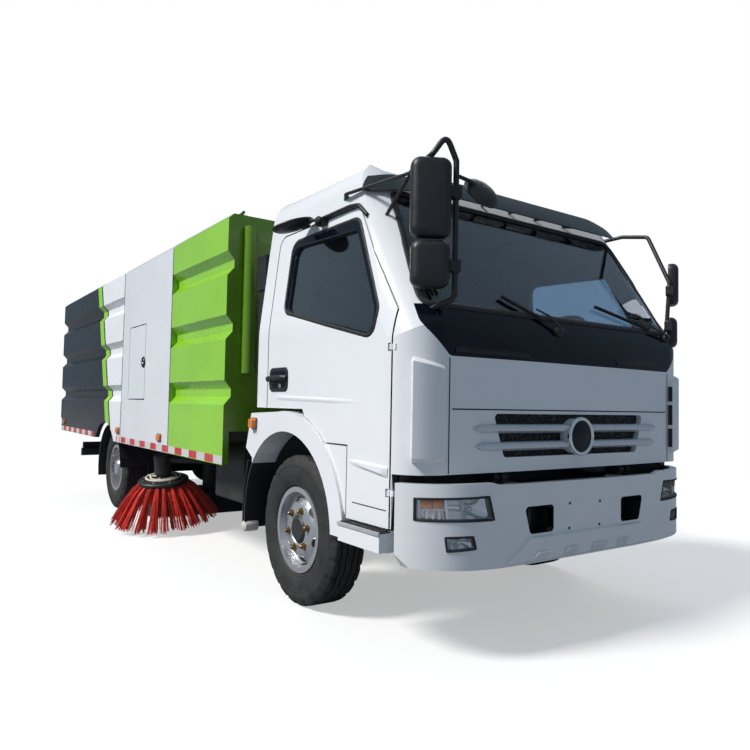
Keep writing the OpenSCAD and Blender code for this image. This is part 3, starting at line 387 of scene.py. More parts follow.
class Build:
    """Collects solids in millimetres and makes one named piece of them."""

    def __init__(self):
        self.verts, self.faces, self.mats, self.kinds = [], [], [], []

    def use(self, mat):
        if mat not in self.kinds:
            self.kinds.append(mat)
        return self.kinds.index(mat)

    def add(self, verts, faces, mat):
        n, k = len(self.verts), self.use(mat)
        self.verts += [tuple(v) for v in verts]
        self.faces += [[i + n for i in f] for f in faces]
        self.mats += [k] * len(faces)

    def box(self, lo, hi, mat, turn=None):
        v = [Vector((x, y, z)) for x in (lo[0], hi[0]) for y in (lo[1], hi[1]) for z in (lo[2], hi[2])]
        if turn is not None:
            mid = (Vector(lo) + Vector(hi)) / 2
            v = [mid + turn @ (p - mid) for p in v]
        f = [[0, 1, 3, 2], [4, 6, 7, 5], [0, 4, 5, 1], [2, 3, 7, 6], [0, 2, 6, 4], [1, 5, 7, 3]]
        self.add(v, f, mat)

    def prism(self, outline, axis, a, b, mat, scale=1.0):
        """An outline in the plane across axis, from a to b, the far end scaled about its middle."""
        n = len(outline)
        mid = Vector((sum(p[0] for p in outline) / n, sum(p[1] for p in outline) / n))
        far = [mid + (Vector(p) - mid) * scale for p in outline]
        slot = "xyz".index(axis)
        v = [(*p[:slot], d, *p[slot:]) for pts, d in ((outline, a), (far, b)) for p in pts]
        f = [list(range(n)), list(range(2 * n - 1, n - 1, -1))]
        f += [[i, i + n, (i + 1) % n + n, (i + 1) % n] for i in range(n)]
        self.add(v, f, mat)

    def lathe(self, centre, axis, rows, mat, n=40, closed=False):
        """Rows of (radius, height along axis) turned about an axis through centre."""
        w = Vector(axis).normalized()
        u = w.orthogonal().normalized()
        t = w.cross(u)
        c = Vector(centre)
        v = []
        for r, h in rows:
            for k in range(n):
                a = 2 * math.pi * k / n
                v.append(c + w * h + (u * math.cos(a) + t * math.sin(a)) * r)
        m = len(rows)
        f = ring_faces(m, n, closed)
        if not closed:
            if rows[0][0] > 0.01:
                f.append(list(range(n - 1, -1, -1)))
            if rows[-1][0] > 0.01:
                f.append([(m - 1) * n + k for k in range(n)])
        self.add(v, f, mat)

    def tube(self, path, r, mat, sides=12, closed=False, flat=None):
        """A round bar along a path. flat = (direction, share) squashes it along a direction."""
        pts = [Vector(p) for p in path]
        n = len(pts)
        tang = []
        for i in range(n):
            a = pts[(i - 1) % n] if closed or i > 0 else pts[i]
            b = pts[(i + 1) % n] if closed or i < n - 1 else pts[i]
            tang.append((b - a).normalized())
        u = tang[0].orthogonal().normalized()
        v = []
        for i in range(n):
            u = (u - tang[i] * u.dot(tang[i])).normalized()
            w = tang[i].cross(u)
            rad = r[i] if isinstance(r, (list, tuple)) else r
            for k in range(sides):
                a = 2 * math.pi * k / sides
                d = (u * math.cos(a) + w * math.sin(a)) * rad
                if flat is not None:
                    g = Vector(flat[0]).normalized()
                    d -= g * d.dot(g) * (1 - flat[1])
                v.append(pts[i] + d)
        f = ring_faces(n, sides, closed)
        if not closed:
            f.append(list(range(sides - 1, -1, -1)))
            f.append([(n - 1) * sides + k for k in range(sides)])
        self.add(v, f, mat)

    def strip(self, rows, mat, thick=None):
        """A sheet through rows of points. thick gives it a back, offset by that vector."""
        m, n = len(rows), len(rows[0])
        v = [Vector(p) for r in rows for p in r]
        f = [[i * n + k, i * n + k + 1, (i + 1) * n + k + 1, (i + 1) * n + k]
             for i in range(m - 1) for k in range(n - 1)]
        if thick is not None:
            back = [p + Vector(thick) for p in v]
            count = len(v)
            f += [[count + q for q in reversed(g)] for g in f[:]]
            rim = list(range(n)) + [i * n + n - 1 for i in range(1, m)]
            rim += [(m - 1) * n + k for k in range(n - 2, -1, -1)] + [i * n for i in range(m - 2, 0, -1)]
            for a, b in zip(rim, rim[1:] + rim[:1]):
                f.append([b, a, count + a, count + b])
            v += back
        self.add(v, f, mat)

    def cup(self, rim, back, mat):
        """A wall from a rim to an outline behind it, which is closed."""
        n = len(rim)
        self.add(rim + back, ring_faces(2, n) + [list(range(n, 2 * n))], mat)

    def join(self, other):
        n = len(self.verts)
        self.verts += other.verts
        self.faces += [[i + n for i in f] for f in other.faces]
        self.mats += [self.use(other.kinds[k]) for k in other.mats]

    def moved(self, matrix):
        self.verts = [tuple(matrix @ Vector(v)) for v in self.verts]
        return self

    def mirrored(self):
        other = Build()
        other.verts = [(v[0], -v[1], v[2]) for v in self.verts]
        other.faces = [list(reversed(f)) for f in self.faces]
        other.mats, other.kinds = list(self.mats), list(self.kinds)
        return other

    def done(self, name, body, bevel=0.0, sharp=32, slot=None, fix=True):
        """Makes the piece, riding on body. bevel is a width, sharp an angle, fix turns faces outwards."""
        me = bpy.data.meshes.new(name)
        me.from_pydata([row(v) for v in self.verts], [], self.faces)
        for m in self.kinds:
            me.materials.append(m)
        me.polygons.foreach_set("material_index", self.mats)
        if fix:
            bm = bmesh.new()
            bm.from_mesh(me)
            bmesh.ops.recalc_face_normals(bm, faces=bm.faces)
            bm.to_mesh(me)
            bm.free()
        me.polygons.foreach_set("use_smooth", [True] * len(me.polygons))
        me.set_sharp_from_angle(angle=math.radians(sharp))
        o = bpy.data.objects.new(name, me)
        scene.collection.objects.link(o)
        if bevel:
            mod = o.modifiers.new("edge", "BEVEL")
            mod.width = bevel / 1000
            mod.segments = 2
            mod.limit_method = "ANGLE"
            mod.angle_limit = math.radians(35)
            mod.harden_normals = True
        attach(o, body)
        return o


def rounded(rows, step=12):
    """Points of an outline whose rows are (x, y, corner radius)."""
    out = []
    n = len(rows)
    for i in range(n):
        p, r = Vector(rows[i][:2]), rows[i][2]
        if r <= 0:
            out.append(p)
            continue
        a = (Vector(rows[i - 1][:2]) - p).normalized()
        b = (Vector(rows[(i + 1) % n][:2]) - p).normalized()
        ang = a.angle(b)
        back = r / math.tan(ang / 2)
        c = p + (a + b).normalized() * (r / math.sin(ang / 2))
        s, e = p + a * back - c, p + b * back - c
        turn = math.atan2(s.x * e.y - s.y * e.x, s.dot(e))
        for k in range(step + 1):
            t = turn * k / step
            cos, sin = math.cos(t), math.sin(t)
            out.append(c + Vector((s.x * cos - s.y * sin, s.x * sin + s.y * cos)))
    return out


def slab(a, b, r, step=6):
    return rounded([(a[0], a[1], r), (b[0], a[1], r), (b[0], b[1], r), (a[0], b[1], r)], step)


def dense(pts, gap, closed=True):
    """Extra points along an outline, so that it can follow a curved surface."""
    out = []
    n = len(pts)
    for i in range(n if closed else n - 1):
        a, b = Vector(pts[i]), Vector(pts[(i + 1) % n])
        m = max(1, int((b - a).length / gap))
        out += [a + (b - a) * k / m for k in range(m)]
    if not closed:
        out.append(Vector(pts[-1]))
    return out


def bend(path, r, step=6):
    """A path in space with its corners rounded to radius r."""
    pts = [Vector(p) for p in path]
    out = [pts[0]]
    for i in range(1, len(pts) - 1):
        p = pts[i]
        a, b = (pts[i - 1] - p), (pts[i + 1] - p)
        ang = a.angle(b)
        back = min(r / math.tan(ang / 2), a.length * 0.45, b.length * 0.45)
        s, e = p + a.normalized() * back, p + b.normalized() * back
        for k in range(step + 1):
            t = k / step
            out.append(s * (1 - t) ** 2 + p * 2 * t * (1 - t) + e * t * t)
    out.append(pts[-1])
    return out


def skin(*names):
    """A tree for casting rays at CAD nodes."""
    verts, polys = [], []
    for nm in names:
        me = NODES[nm].data
        n = len(verts)
        verts += [v.co.copy() for v in me.vertices]
        polys += [[i + n for i in p.vertices] for p in me.polygons]
    return BVHTree.FromPolygons(verts, polys)


def hit(bvh, start, way):
    """Where a ray from start meets the surface, in millimetres, with its normal."""
    loc, normal, _, _ = bvh.ray_cast(row(start), Vector(way))
    return (None, None) if loc is None else (axle(loc), normal)


FAR_AHEAD, FAR_OUT = 2500, 2000


def on_front(bvh, y, z, lift=0.0):
    p, _ = hit(bvh, (FAR_AHEAD, y, z), (-1, 0, 0))
    return p + Vector((lift, 0, 0))


def on_side(bvh, x, z, side, lift=0.0):
    p, _ = hit(bvh, (x, side * FAR_OUT, z), (0, -side, 0))
    return p + Vector((0, side * lift, 0))


def paint(mat, *names):
    for nm in names:
        me = NODES[nm].data
        me.materials.clear()
        me.materials.append(mat)
        me.polygons.foreach_set("material_index", [0] * len(me.polygons))


# Camera, floor and light

CAMERA = (3221.0, -2746.0, 1093.0)
YAW, PITCH, ROLL = math.radians(144.79), math.radians(2.5), math.radians(1.11)
FOCAL_PX = 664.9
IMAGE_PX = 750
SENSOR_MM = 36
cam = bpy.data.objects.new("camera", bpy.data.cameras.new("camera"))
scene.collection.objects.link(cam)
ahead = Vector((math.cos(PITCH) * math.cos(YAW), math.cos(PITCH) * math.sin(YAW), math.sin(PITCH)))
right = Vector((math.sin(YAW), -math.cos(YAW), 0))
up = right.cross(ahead)
right, up = (right * math.cos(ROLL) + up * math.sin(ROLL), up * math.cos(ROLL) - right * math.sin(ROLL))
cam.matrix_world = Matrix.Translation(row(CAMERA)) @ Matrix((right, up, -ahead)).transposed().to_4x4()
cam.data.sensor_width = SENSOR_MM
cam.data.lens = SENSOR_MM * FOCAL_PX / IMAGE_PX
cam.data.clip_start, cam.data.clip_end = 0.05, 400
scene.camera = cam
scene.view_settings.view_transform = "Standard"


def blended(nt, fac, a, b):
    n = nt.nodes.new("ShaderNodeMixShader")
    for i, v in enumerate((fac, a, b)):
        nt.links.new(v, n.inputs[i])
    return n.outputs[0]


def seen(nt, lit, shown):
    """The shader shown where the camera looks, also through glass, and the shader lit for all other light."""
    ray = nt.nodes.new("ShaderNodeLightPath")
    direct = calc(nt, "MAXIMUM", ray.outputs["Is Camera Ray"], ray.outputs["Is Transmission Ray"])
    return blended(nt, direct, lit, shown)


world = bpy.data.worlds.new("studio")
scene.world = world
world.use_nodes = True
wt = world.node_tree
plain = wt.nodes["Background"]
plain.inputs["Color"].default_value = (1, 1, 1, 1)
plain.inputs["Strength"].default_value = 1.0
fill = node(wt, "ShaderNodeBackground", Color=(0.60, 0.79, 1.0, 1), Strength=0.32)
wt.links.new(seen(wt, fill.outputs[0], plain.outputs[0]), wt.nodes["World Output"].inputs["Surface"])


def sunlight(name, energy, spread, way, colour=(1, 1, 1)):
    o = bpy.data.objects.new(name, bpy.data.lights.new(name, "SUN"))
    o.data.energy, o.data.angle, o.data.color = energy, math.radians(spread), colour
    o.rotation_mode = "QUATERNION"
    o.rotation_quaternion = Vector(way).to_track_quat("-Z", "Y")
    scene.collection.objects.link(o)


sunlight("key", 4.0, 14, (0.16, 0.66, -0.72), (1.0, 0.975, 0.94))
sunlight("back", 0.9, 40, (0.62, -0.52, -0.59))

FLOOR_HALF = 60
me = bpy.data.meshes.new("floor")
corners = [(x * FLOOR_HALF, y * FLOOR_HALF, 0) for x, y in ((-1, -1), (1, -1), (1, 1), (-1, 1))]
me.from_pydata(corners, [], [(0, 1, 2, 3)])
floor = bpy.data.objects.new("floor", me)
scene.collection.objects.link(floor)
m, nt, b = tree("floor")
far = node(nt, "ShaderNodeVectorMath", operation="LENGTH")
nt.links.new(coords(nt), far.inputs[0])
b.inputs["Base Color"].default_value = (0.93, 0.93, 0.93, 1)
b.inputs["Roughness"].default_value = 0.9
glow = node(nt, "ShaderNodeEmission", Strength=1.0)
ground = node(nt, "ShaderNodeBsdfDiffuse", Color=(0.22, 0.235, 0.26, 1))
fade = ranged(nt, far.outputs["Value"], 4.0, 9.0, 0.45, 1.0)
shown = blended(nt, fade, b.outputs[0], glow.outputs[0])
nt.links.new(seen(nt, ground.outputs[0], shown), nt.nodes["Material Output"].inputs["Surface"])
me.materials.append(m)

# CAD nodes that show as they are

paint(white_paint, "cab_shell", "front_panel", "fenders", "door_right", "door_left", "bumper", "hatch")
paint(green_paint, "engine_housing")
paint(tank_livery, "tank_module", "tank_skirts")
paint(hopper_livery, "hopper", "tailgate")
paint(dark_steel, "frame_rails", "crossmembers", "front_axle", "rear_axle", "engine", "propshaft",
      "aux_engine", "knuckle_left", "knuckle_right", "tie_rod", "underrun_bar", "lift_barrels",
      "brush_arm_right", "brush_arm_left", "suction_nozzle", "suction_duct", "side_tanks")
paint(steel_rod, "lift_rods")
paint(gloss_black, "cowl_panel")
paint(grille_mesh, "grille")
paint(black_plastic, "mudguards", "mirrors", "air_intake", "curb_mirror", "steering_wheel", "cab_interior")
paint(visor_grey, "sun_visor")
paint(white_paint, "steps")
paint(grey_plastic, "roof_cover")
paint(cab_glass, "cab_glass")
paint(door_glass, "door_glass_right", "door_glass_left")
paint(lens_clear, "front_lamps")
paint(red_lens, "rear_lamps")
paint(silver, "rim_front_left", "rim_front_right", "rim_rear_left", "rim_rear_right")
paint(tyre_rubber, "tyre_front_left", "tyre_front_right", "tyre_rear_left", "tyre_rear_right")
paint(bristle, "brush_right", "brush_left")

# Tyres

TYRE_R, WHEEL_Z, WHEEL_Y, TWIN = 402.5, 402.5, 882.5, 265.0
WHEELBASE = 3800.0
# Half profile from the bead to the crown: (offset from the middle, radius),
# then (offset, depth below the crown).
TYRE_WALL = [(70, 219), (79, 231), (88, 236), (94, 243), (96, 246), (95, 249), (99, 256), (103, 270),
             (105.5, 285), (107, 300), (107.5, 306), (106.4, 309), (107.4, 313), (106.6, 330),
             (104.5, 347), (105.5, 350), (104, 354), (101.5, 364), (98, 373), (95, 380), (92, 386),
             (88.5, 393), (84, 398.5), (77, TYRE_R - 0.6)]
TYRE_TREAD = [(70, 0), (63, 0), (59.5, 0), (58.5, 11), (51.5, 11), (50.5, 0), (44, 0), (34, 0), (25, 0),
              (24, 11), (17, 11), (16, 0), (9, 0), (0, 0)]
TYRE_STEPS, LUG_STEPS = 192, 8
ZIGZAG, SHOULDER_SLOT, SIPE = 3.6, 8.5, 5


def add_tyre(part, x, y, out):
    """One tyre with zigzag grooves and shoulder slots. out is the side it faces, 1 or -1."""
    cols = [(h, r, "wall") for h, r in TYRE_WALL] + [(h, TYRE_R - d, "tread") for h, d in TYRE_TREAD]
    full = cols + [(-h, r, k) for h, r, k in reversed(cols[:-1])]
    v = []
    for i in range(TYRE_STEPS):
        a = 2 * math.pi * i / TYRE_STEPS
        step = i % LUG_STEPS
        zig = (abs(step / LUG_STEPS - 0.5) * 4 - 1) * ZIGZAG
        for h, r, kind in full:
            hh, rr = h, r
            slot = step in ((0, 1) if h > 0 else (4, 5))
            if kind == "tread" and abs(h) < 62:
                hh = h + zig
            if slot and 372 < r and abs(h) > 61:
                rr = r - SHOULDER_SLOT * min(1.0, (r - 370) / 10)
            if kind == "tread" and i % 4 == 2 and 40 < abs(h) < 48:
                rr = r - SIPE
            v.append((x + rr * math.cos(a), y + out * hh, WHEEL_Z + rr * math.sin(a)))
    f = ring_faces(TYRE_STEPS, len(full), closed=True)
    part.add(v, f, tyre_rubber)


for side_name, s in reversed(SIDES):
    for end, x, rows in (("front", 0, (WHEEL_Y,)), ("rear", -WHEELBASE, (WHEEL_Y, WHEEL_Y - TWIN))):
        part = Build()
        for y in rows:
            add_tyre(part, x, s * y, s)
        o = part.done(f"tread_{end}_{side_name}", f"wheel_{end}_{side_name}", sharp=40, slot="tyre_rubber")
        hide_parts(f"tyre_{end}_{side_name}")

# Wheel nuts, hubs and valves


def around(n, r, start=0.0):
    """n points on a circle, from an angle in degrees."""
    turns = [math.radians(start + 360 * k / n) for k in range(n)]
    return [(r * math.cos(a), r * math.sin(a)) for a in turns]


def add_nut(part, c, out, r, mat):
    part.prism([(c[0] + x, c[2] + z) for x, z in around(6, r)], "y", c[1], c[1] + out * 17, mat, 0.94)
    stud = [(r * 0.62, -1), (r * 0.6, 9), (r * 0.4, 12), (0, 12.5)]
    part.lathe((c[0], c[1] + out * 17, c[2]), (0, out, 0), stud, mat, 16)
    part.lathe(c, (0, out, 0), [(r * 1.35, -2), (r * 1.35, 2), (r * 1.1, 4), (0, 4)], mat, 20)


DISC = [(76, 58), (76, 79), (81, 84), (126, 82), (142, 75), (160, 62), (178, 47), (192, 38), (201, 41),
        (203, 30)]
HOLE_R, HOLE_OUT, HOLE_SLOPE, HOLE_STEPS = 160.0, 65.0, math.radians(38), 20
# Nuts at each end: the wheel's place, the face they sit on, and their circle, first angle and size.
NUTS = (("front", 0, WHEEL_Y + 82, 106, 12, 16), ("rear", -WHEELBASE, WHEEL_Y - TWIN / 2 + 15, 108, 30, 17))


def wheel_disc(part, s):
    """Bulged steel disc over the rim, with six oval hand holes as black ovals of painted shade, and the hub
    and its cap.
    """
    c = Vector((0, s * WHEEL_Y, WHEEL_Z))
    part.lathe(c, (0, s, 0), DISC, silver, 72)
    part.lathe(c, (0, s, 0), [(75, 57), (75, 60), (52, 62), (50, 74), (40, 80), (0, 82)], gloss_black, 40)
    for k in range(6):
        a = math.radians(60 * k + 42)
        out = Vector((math.cos(a), 0, math.sin(a)))
        normal = out * math.sin(HOLE_SLOPE) + Vector((0, s * math.cos(HOLE_SLOPE), 0))
        along = out.cross(normal)
        up_slope = normal.cross(along)
        spot = c + out * HOLE_R + Vector((0, s * HOLE_OUT, 0))
        ring = [spot + along * 34 * u + up_slope * 25 * v for u, v in around(HOLE_STEPS, 1)]
        part.tube(ring, 3, silver, 8, closed=True)
        # Painted shade: a flat black oval in each hole stands for the dark view through it.
        part.add([p + normal * 2.5 for p in ring], [list(range(HOLE_STEPS))], rubber)


for side_name, s in reversed(SIDES):
    part = Build()
    wheel_disc(part, s)
    part.done(f"disc_front_{side_name}", f"wheel_front_{side_name}", sharp=40)
    for end, wheel_x, face, circle_r, start, nut_r in NUTS:
        part = Build()
        for x, z in around(6, circle_r, start):
            add_nut(part, (wheel_x + x, s * face, WHEEL_Z + z), s, nut_r, brass)
        if end == "front":
            valve = [(20, s * (WHEEL_Y + 20), WHEEL_Z - 188), (24, s * (WHEEL_Y + 70), WHEEL_Z - 186)]
            part.tube(valve, 4, black_plastic, 8)
        part.done(f"nuts_{end}_{side_name}", f"wheel_{end}_{side_name}", sharp=30)

# Side brushes

BRUSH = (-2450.0, 920.0, 400.0)
BRUSH_TILT = math.radians(10)
HUB = [(150, -6), (202, -6), (206, 2), (206, 22), (200, 29), (150, 30), (60, 30), (58, 66), (50, 70),
       (21, 70), (21, -6)]
RING_Z = 44


def brush_tufts(part):
    """Bundles of bristles in two rings, splayed to the tips."""
    drop = (BRUSH[2] - 15 - 430 * math.sin(BRUSH_TILT)) / math.cos(BRUSH_TILT)
    for ring, (count, foot, tip) in enumerate(((22, 188, 414), (18, 160, 362))):
        for k in range(count):
            a0 = 2 * math.pi * (k + 0.5 * ring) / count + rng.uniform(-0.02, 0.02)
            lean = rng.uniform(-0.03, 0.03)
            for _ in range(16):
                da, dr = rng.uniform(-1, 1), rng.uniform(-1, 1)
                end = tip + dr * 22 + rng.uniform(-6, 6)
                low = drop - rng.uniform(2, 26)
                path, rad = [], []
                for i in range(6):
                    t = i / 5
                    a = a0 + lean * t + da * (0.050 + 0.035 * t)
                    r = foot + dr * 9 + (end - foot) * t ** 0.85
                    path.append((r * math.cos(a), r * math.sin(a), 2 - low * (0.10 * t + 0.90 * t ** 1.1)))
                    rad.append(4.6 - 1.2 * t)
                part.tube(path, rad, bristle, 4)


brush_part = Build()
brush_tufts(brush_part)
brush_part.lathe((0, 0, 0), (0, 0, 1), HUB, black_plastic, 48, closed=True)
for r in (140, 104):
    brush_part.tube([(x, y, RING_Z) for x, y in around(40, r)], 9, ring_paint, 8, closed=True)
for inner, outer in zip(around(4, 56, 45), around(4, 140, 45)):
    brush_part.tube([(*inner, RING_Z), (*outer, RING_Z)], 8, ring_paint, 8)
for x, y in around(8, 175):
    brush_part.lathe((x, y, 29), (0, 0, 1), [(11, 0), (11, 7), (8, 10), (0, 10)], steel_rod, 6)
brush_part.moved(Matrix.Translation(BRUSH) @ Matrix.Rotation(BRUSH_TILT, 4, Vector((-1, 1, 0))))
for side_name, part in (("right", brush_part.mirrored()), ("left", brush_part)):
    o = part.done(f"bristles_{side_name}", f"brush_{side_name}", sharp=40, slot="red_bristle")
    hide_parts(f"brush_{side_name}")

# Body: tape, markers, seams, latch

HALF = 1100.0
TAPE_LOW, TAPE_HIGH, SEAM_TOP, MARKER_Z = 694, 746, 2262, 795
# Places along the truck of tapes and markers, on the tank section and on the hopper.
TANK_TAPE, TANK_MARKER = (-3198, -766), -2035
HOPPER_TAPES, HOPPER_MARKERS = ((-6016, -4255), (-3345, -3217)), (-3275, -5850)


def marker(part, x, side):
    """Amber side marker on a dark base, with a tapered lens."""
    y, z = side * HALF, MARKER_Z
    part.prism(slab((x - 52, z - 30), (x + 52, z + 34), 10), "y", y - side * 1, y + side * 5, grey_plastic)
    part.prism(slab((x - 45, z - 24), (x + 45, z + 28), 10), "y", y + side * 4, y + side * 18, amber, 0.86)


def tape_run(part, side, x0, x1):
    part.box((x0, side * HALF - 0.4, TAPE_LOW), (x1, side * HALF + 1.2, TAPE_HIGH), tape)


for name, s in SIDES:
    part = Build()
    tape_run(part, s, *TANK_TAPE)
    part.box((-1836, s * HALF - 1, TAPE_HIGH + 1), (-1826, s * HALF + 1.0, SEAM_TOP), rubber)
    marker(part, TANK_MARKER, s)
    part.box((-3199, s * HALF - 1, TAPE_HIGH + 1), (-3194, s * HALF + 0.8, SEAM_TOP), rubber)
    part.done(f"body_trim_{name}", "chassis")
    part = Build()
    for ends in HOPPER_TAPES:
        tape_run(part, s, *ends)
    for x in HOPPER_MARKERS:
        marker(part, x, s)
    part.done(f"hopper_trim_{name}", "hopper")

part = Build()
latch = Vector((-2525, -HALF, 1412))
part.lathe(latch, (0, -1, 0), [(46, -1), (48, 4), (44, 9), (36, 10), (34, 5), (0, 5)], black_plastic, 36)
part.lathe(latch, (0, -1, 0), [(30, 4), (30, 8), (27, 11), (0, 11)], gloss_black, 32)
part.tube([latch + Vector(d) for d in ((-22, -13, 16), (4, -15, 0), (20, -13, -20))], 6, chrome, 8)
part.done("hatch_latch", "hatch")

# Tailgate and rear

TAIL = axle((cad_low.x, 0, 0)).x
gate = skin("tailgate")


def gate_x(y, z):
    """Where the tailgate's face is at a place across and a height."""
    return hit(gate, (TAIL - 800, y, z), (1, 0, 0))[0].x


RIB_LOW, RIB_TOP, RIB_HALF = 1000, 2180, 42
LATCH_Y, LATCH_Z = 860, 1085
part = Build()
for y in (-660, -270, 270, 660):
    x = gate_x(y, RIB_LOW)
    part.prism(slab((y - RIB_HALF, RIB_LOW), (y + RIB_HALF, RIB_TOP), 10, 4), "x", x + 1, x - 22,
               hopper_livery, 0.97)
for z in (RIB_LOW + 10, RIB_TOP - 10):
    x = gate_x(100, z)
    part.prism(slab((-1040, z - 34), (1040, z + 34), 8, 4), "x", x + 1, x - 18, hopper_livery, 0.985)
for s in (-1, 1):
    y = s * LATCH_Y
    x = gate_x(y, 1060)
    part.prism(slab((y - 45, 960), (y + 45, 1110), 12), "x", x + 1, x - 16, dark_steel)
    part.tube(bend([(x - 20, y, LATCH_Z), (x - 34, y, 1040), (x - 30, y, 975)], 20), 11, steel_rod, 10)
    part.lathe((x - 14, y, LATCH_Z), (-1, 0, 0), [(22, 0), (22, 10), (15, 15), (0, 15)], dark_steel, 20)
    for z in (1300, 1700):
        part.box((x - 2, s * 1000 - 30, z), (x - 1.4, s * 1000 + 30, z + 220), tape)
part.done("gate_fittings", "tailgate", bevel=3)

# Cab

bvh_cab = skin("cab_shell", "cab_glass", "cowl_panel", "front_panel")
bvh_side = {-1: skin("door_right", "door_glass_right", "cab_shell", "fenders"),
            1: skin("door_left", "door_glass_left", "cab_shell", "fenders")}
bvh_front = skin("front_panel", "cab_shell", "cowl_panel", "grille")

SCREEN = [(-935, 1534, 40), (935, 1534, 40), (850, 2135, 70), (-850, 2135, 70)]
ring = [on_front(bvh_cab, p[0], p[1], 1) for p in dense(rounded(SCREEN, 6), 40)]
part = Build()
part.tube(ring, 17, rubber, 10, closed=True, flat=((1, 0, 0.66), 0.45))
part.done("screen_seal", "cab", sharp=60)

# The side window's pane and the black band around it: (x, z, corner radius).
WINDOW = [(-100, 1600, 60), (770, 1400, 60), (790, 1520, 60), (560, 1940, 60), (-90, 1965, 60)]
BAND = [(-106, 1594, 62), (774, 1394, 62), (818, 1524, 62), (566, 1994, 70), (-98, 1994, 66)]
DOOR_Y, WAIST_Z, DOOR_LEAN = 1040, 1490, 0.113
HANDLE_X, HANDLE_Z = -130, 1219


def door_face(z):
    """How far out the side of a door is at a height."""
    return DOOR_Y - max(0.0, z - WAIST_Z) * DOOR_LEAN


def spaced(rows, per, arc=6):
    """A rounded outline with the same number of points on each side, whatever its lengths."""
    pts = rounded(rows, arc)
    out = []
    for k, (a, b) in enumerate(zip(pts, pts[1:] + pts[:1])):
        n = per if k % (arc + 1) == arc else 1
        out += [a + (b - a) * i / n for i in range(n)]
    return out


def handle_plate(part, s, half, high, r, near, far_out, mat, taper):
    outline = slab((HANDLE_X - half, HANDLE_Z - high), (HANDLE_X + half, HANDLE_Z + high), r)
    part.prism(outline, "y", s * (DOOR_Y + near), s * (DOOR_Y + far_out), mat, taper)


for name, s in SIDES:
    part = Build()
    pane, band = [[(x, s * (door_face(z) + 2.2), z) for x, z in spaced(rows, 10)] for rows in (WINDOW, BAND)]
    part.strip([pane + pane[:1], band + band[:1]], gloss_black)
    part.tube([(x, y - s * 3, z) for x, y, z in band], 10, rubber, 10, closed=True, flat=((0, 1, 0), 0.6))
    part.done(f"window_seal_{name}", f"door_{name}", sharp=60, fix=False)
    part = Build()
    handle_plate(part, s, 112, 68, 34, -1, 5, black_plastic, 0.96)
    handle_plate(part, s, 92, 50, 26, 4.5, 6, gloss_black, 0.97)
    grip = [(HANDLE_X + dx, s * (DOOR_Y + dy), HANDLE_Z + dz)
            for dx, dy, dz in ((-122, 8, 2), (-90, 26, 6), (70, 26, 10), (100, 8, 8))]
    part.tube(bend(grip, 30), 15, black_plastic, 12, flat=((0, 1, 0), 0.7))
    lock = [(14, 0), (14, 5), (11, 7), (0, 7)]
    part.lathe((HANDLE_X + 30, s * (DOOR_Y + 5), HANDLE_Z - 34), (0, s, 0), lock, chrome, 20)
    part.done(f"door_handle_{name}", f"door_{name}", bevel=1.5)

LID_SEAM_Z, LID_HALF, SEAM_LIFT = 1078, 814, 0.8
part = Build()
part.strip([[on_front(bvh_front, y, z, SEAM_LIFT) for y in range(-LID_HALF, LID_HALF + 1, 44)]
            for z in (LID_SEAM_Z + 3, LID_SEAM_Z - 3)], rubber)
for s in (-1, 1):
    part.strip([[on_front(bvh_front, s * y, z, SEAM_LIFT) for z in range(800, 1305, 50)]
                for y in (LID_HALF + 14, LID_HALF + 20)], rubber)
part.done("front_seams", "cab", fix=False)

# Cab corners

CORNER_X, CORNER_Y, CORNER_FAR = 875, 850, 600
PANEL_LOW, PANEL_TOP, PANEL_RISE = 845, 1262, 40
PANEL_DEG, PANEL_SPAN, PANEL_ROWS, PANEL_COLS = -2, 50, 24, 16
SLOTS = ((880, 985), (1005, 1120), (1140, 1225))
SLOT_ROWS = ((-2.4, 1.5), (-1.2, 10), (0.4, 19.5), (1.0, 21.5))


def heading(deg, s=1):
    """A level direction at an angle from straight ahead, towards side s."""
    return Vector((math.cos(math.radians(deg)), s * math.sin(math.radians(deg)), 0))


def corner(s, deg, z, lift=0.0):
    """A point on the rounded front corner of the cab, at an angle from straight ahead, raised along it."""
    out = heading(deg, s)
    p, _ = hit(bvh_front, Vector((CORNER_X, s * CORNER_Y, z)) + out * CORNER_FAR, -out)
    return p + out * lift


def raised(grid, height):
    """Lifts the inside of a grid of (point, outward) by height and sinks its border a little."""
    last_row, last_col = len(grid) - 1, len(grid[0]) - 1
    out = []
    for i, line in enumerate(grid):
        lifts = [-1.0 if i in (0, last_row) or k in (0, last_col) else height for k in range(len(line))]
        out.append([p + n * lift for (p, n), lift in zip(line, lifts)])
    return out


def corner_panel(s, bulge, height):
    part = Build()
    grid = []
    for i in range(PANEL_ROWS + 1):
        line = []
        for k in range(PANEL_COLS + 1):
            t = k / PANEL_COLS
            deg = PANEL_DEG + PANEL_SPAN * t
            z = PANEL_LOW + (PANEL_TOP + PANEL_RISE * t - PANEL_LOW) * i / PANEL_ROWS
            edge = k in (0, PANEL_COLS) or i in (0, PANEL_ROWS)
            line.append((corner(s, deg, z, 0 if edge else bulge * t ** 2), heading(deg, s)))
        grid.append(line)
    part.strip(raised(grid, height), white_paint)
    return part


corner_panel(-1, 30, 12).done("corner_panel_right", "cab", bevel=3, sharp=40, fix=False)
corner_panel(1, 16, 20).done("corner_panel_left", "cab", bevel=3, sharp=40, fix=False)
part = Build()
for low, high in SLOTS:
    heights = [low + (high - low) * k / 6 for k in range(7)]
    part.strip([[corner(1, deg, z, lift) for z in heights] for deg, lift in SLOT_ROWS], rubber)
part.done("corner_slots_left", "cab", sharp=50, fix=False)

# Bumper and lamps

BUMPER_R, BUMPER_SIDE = 400.0, 1085.0
BUMPER_X, BUMPER_FLAT, BUMPER_RUN, BUMPER_SWEEP = 1160.0, 380, 705, 32


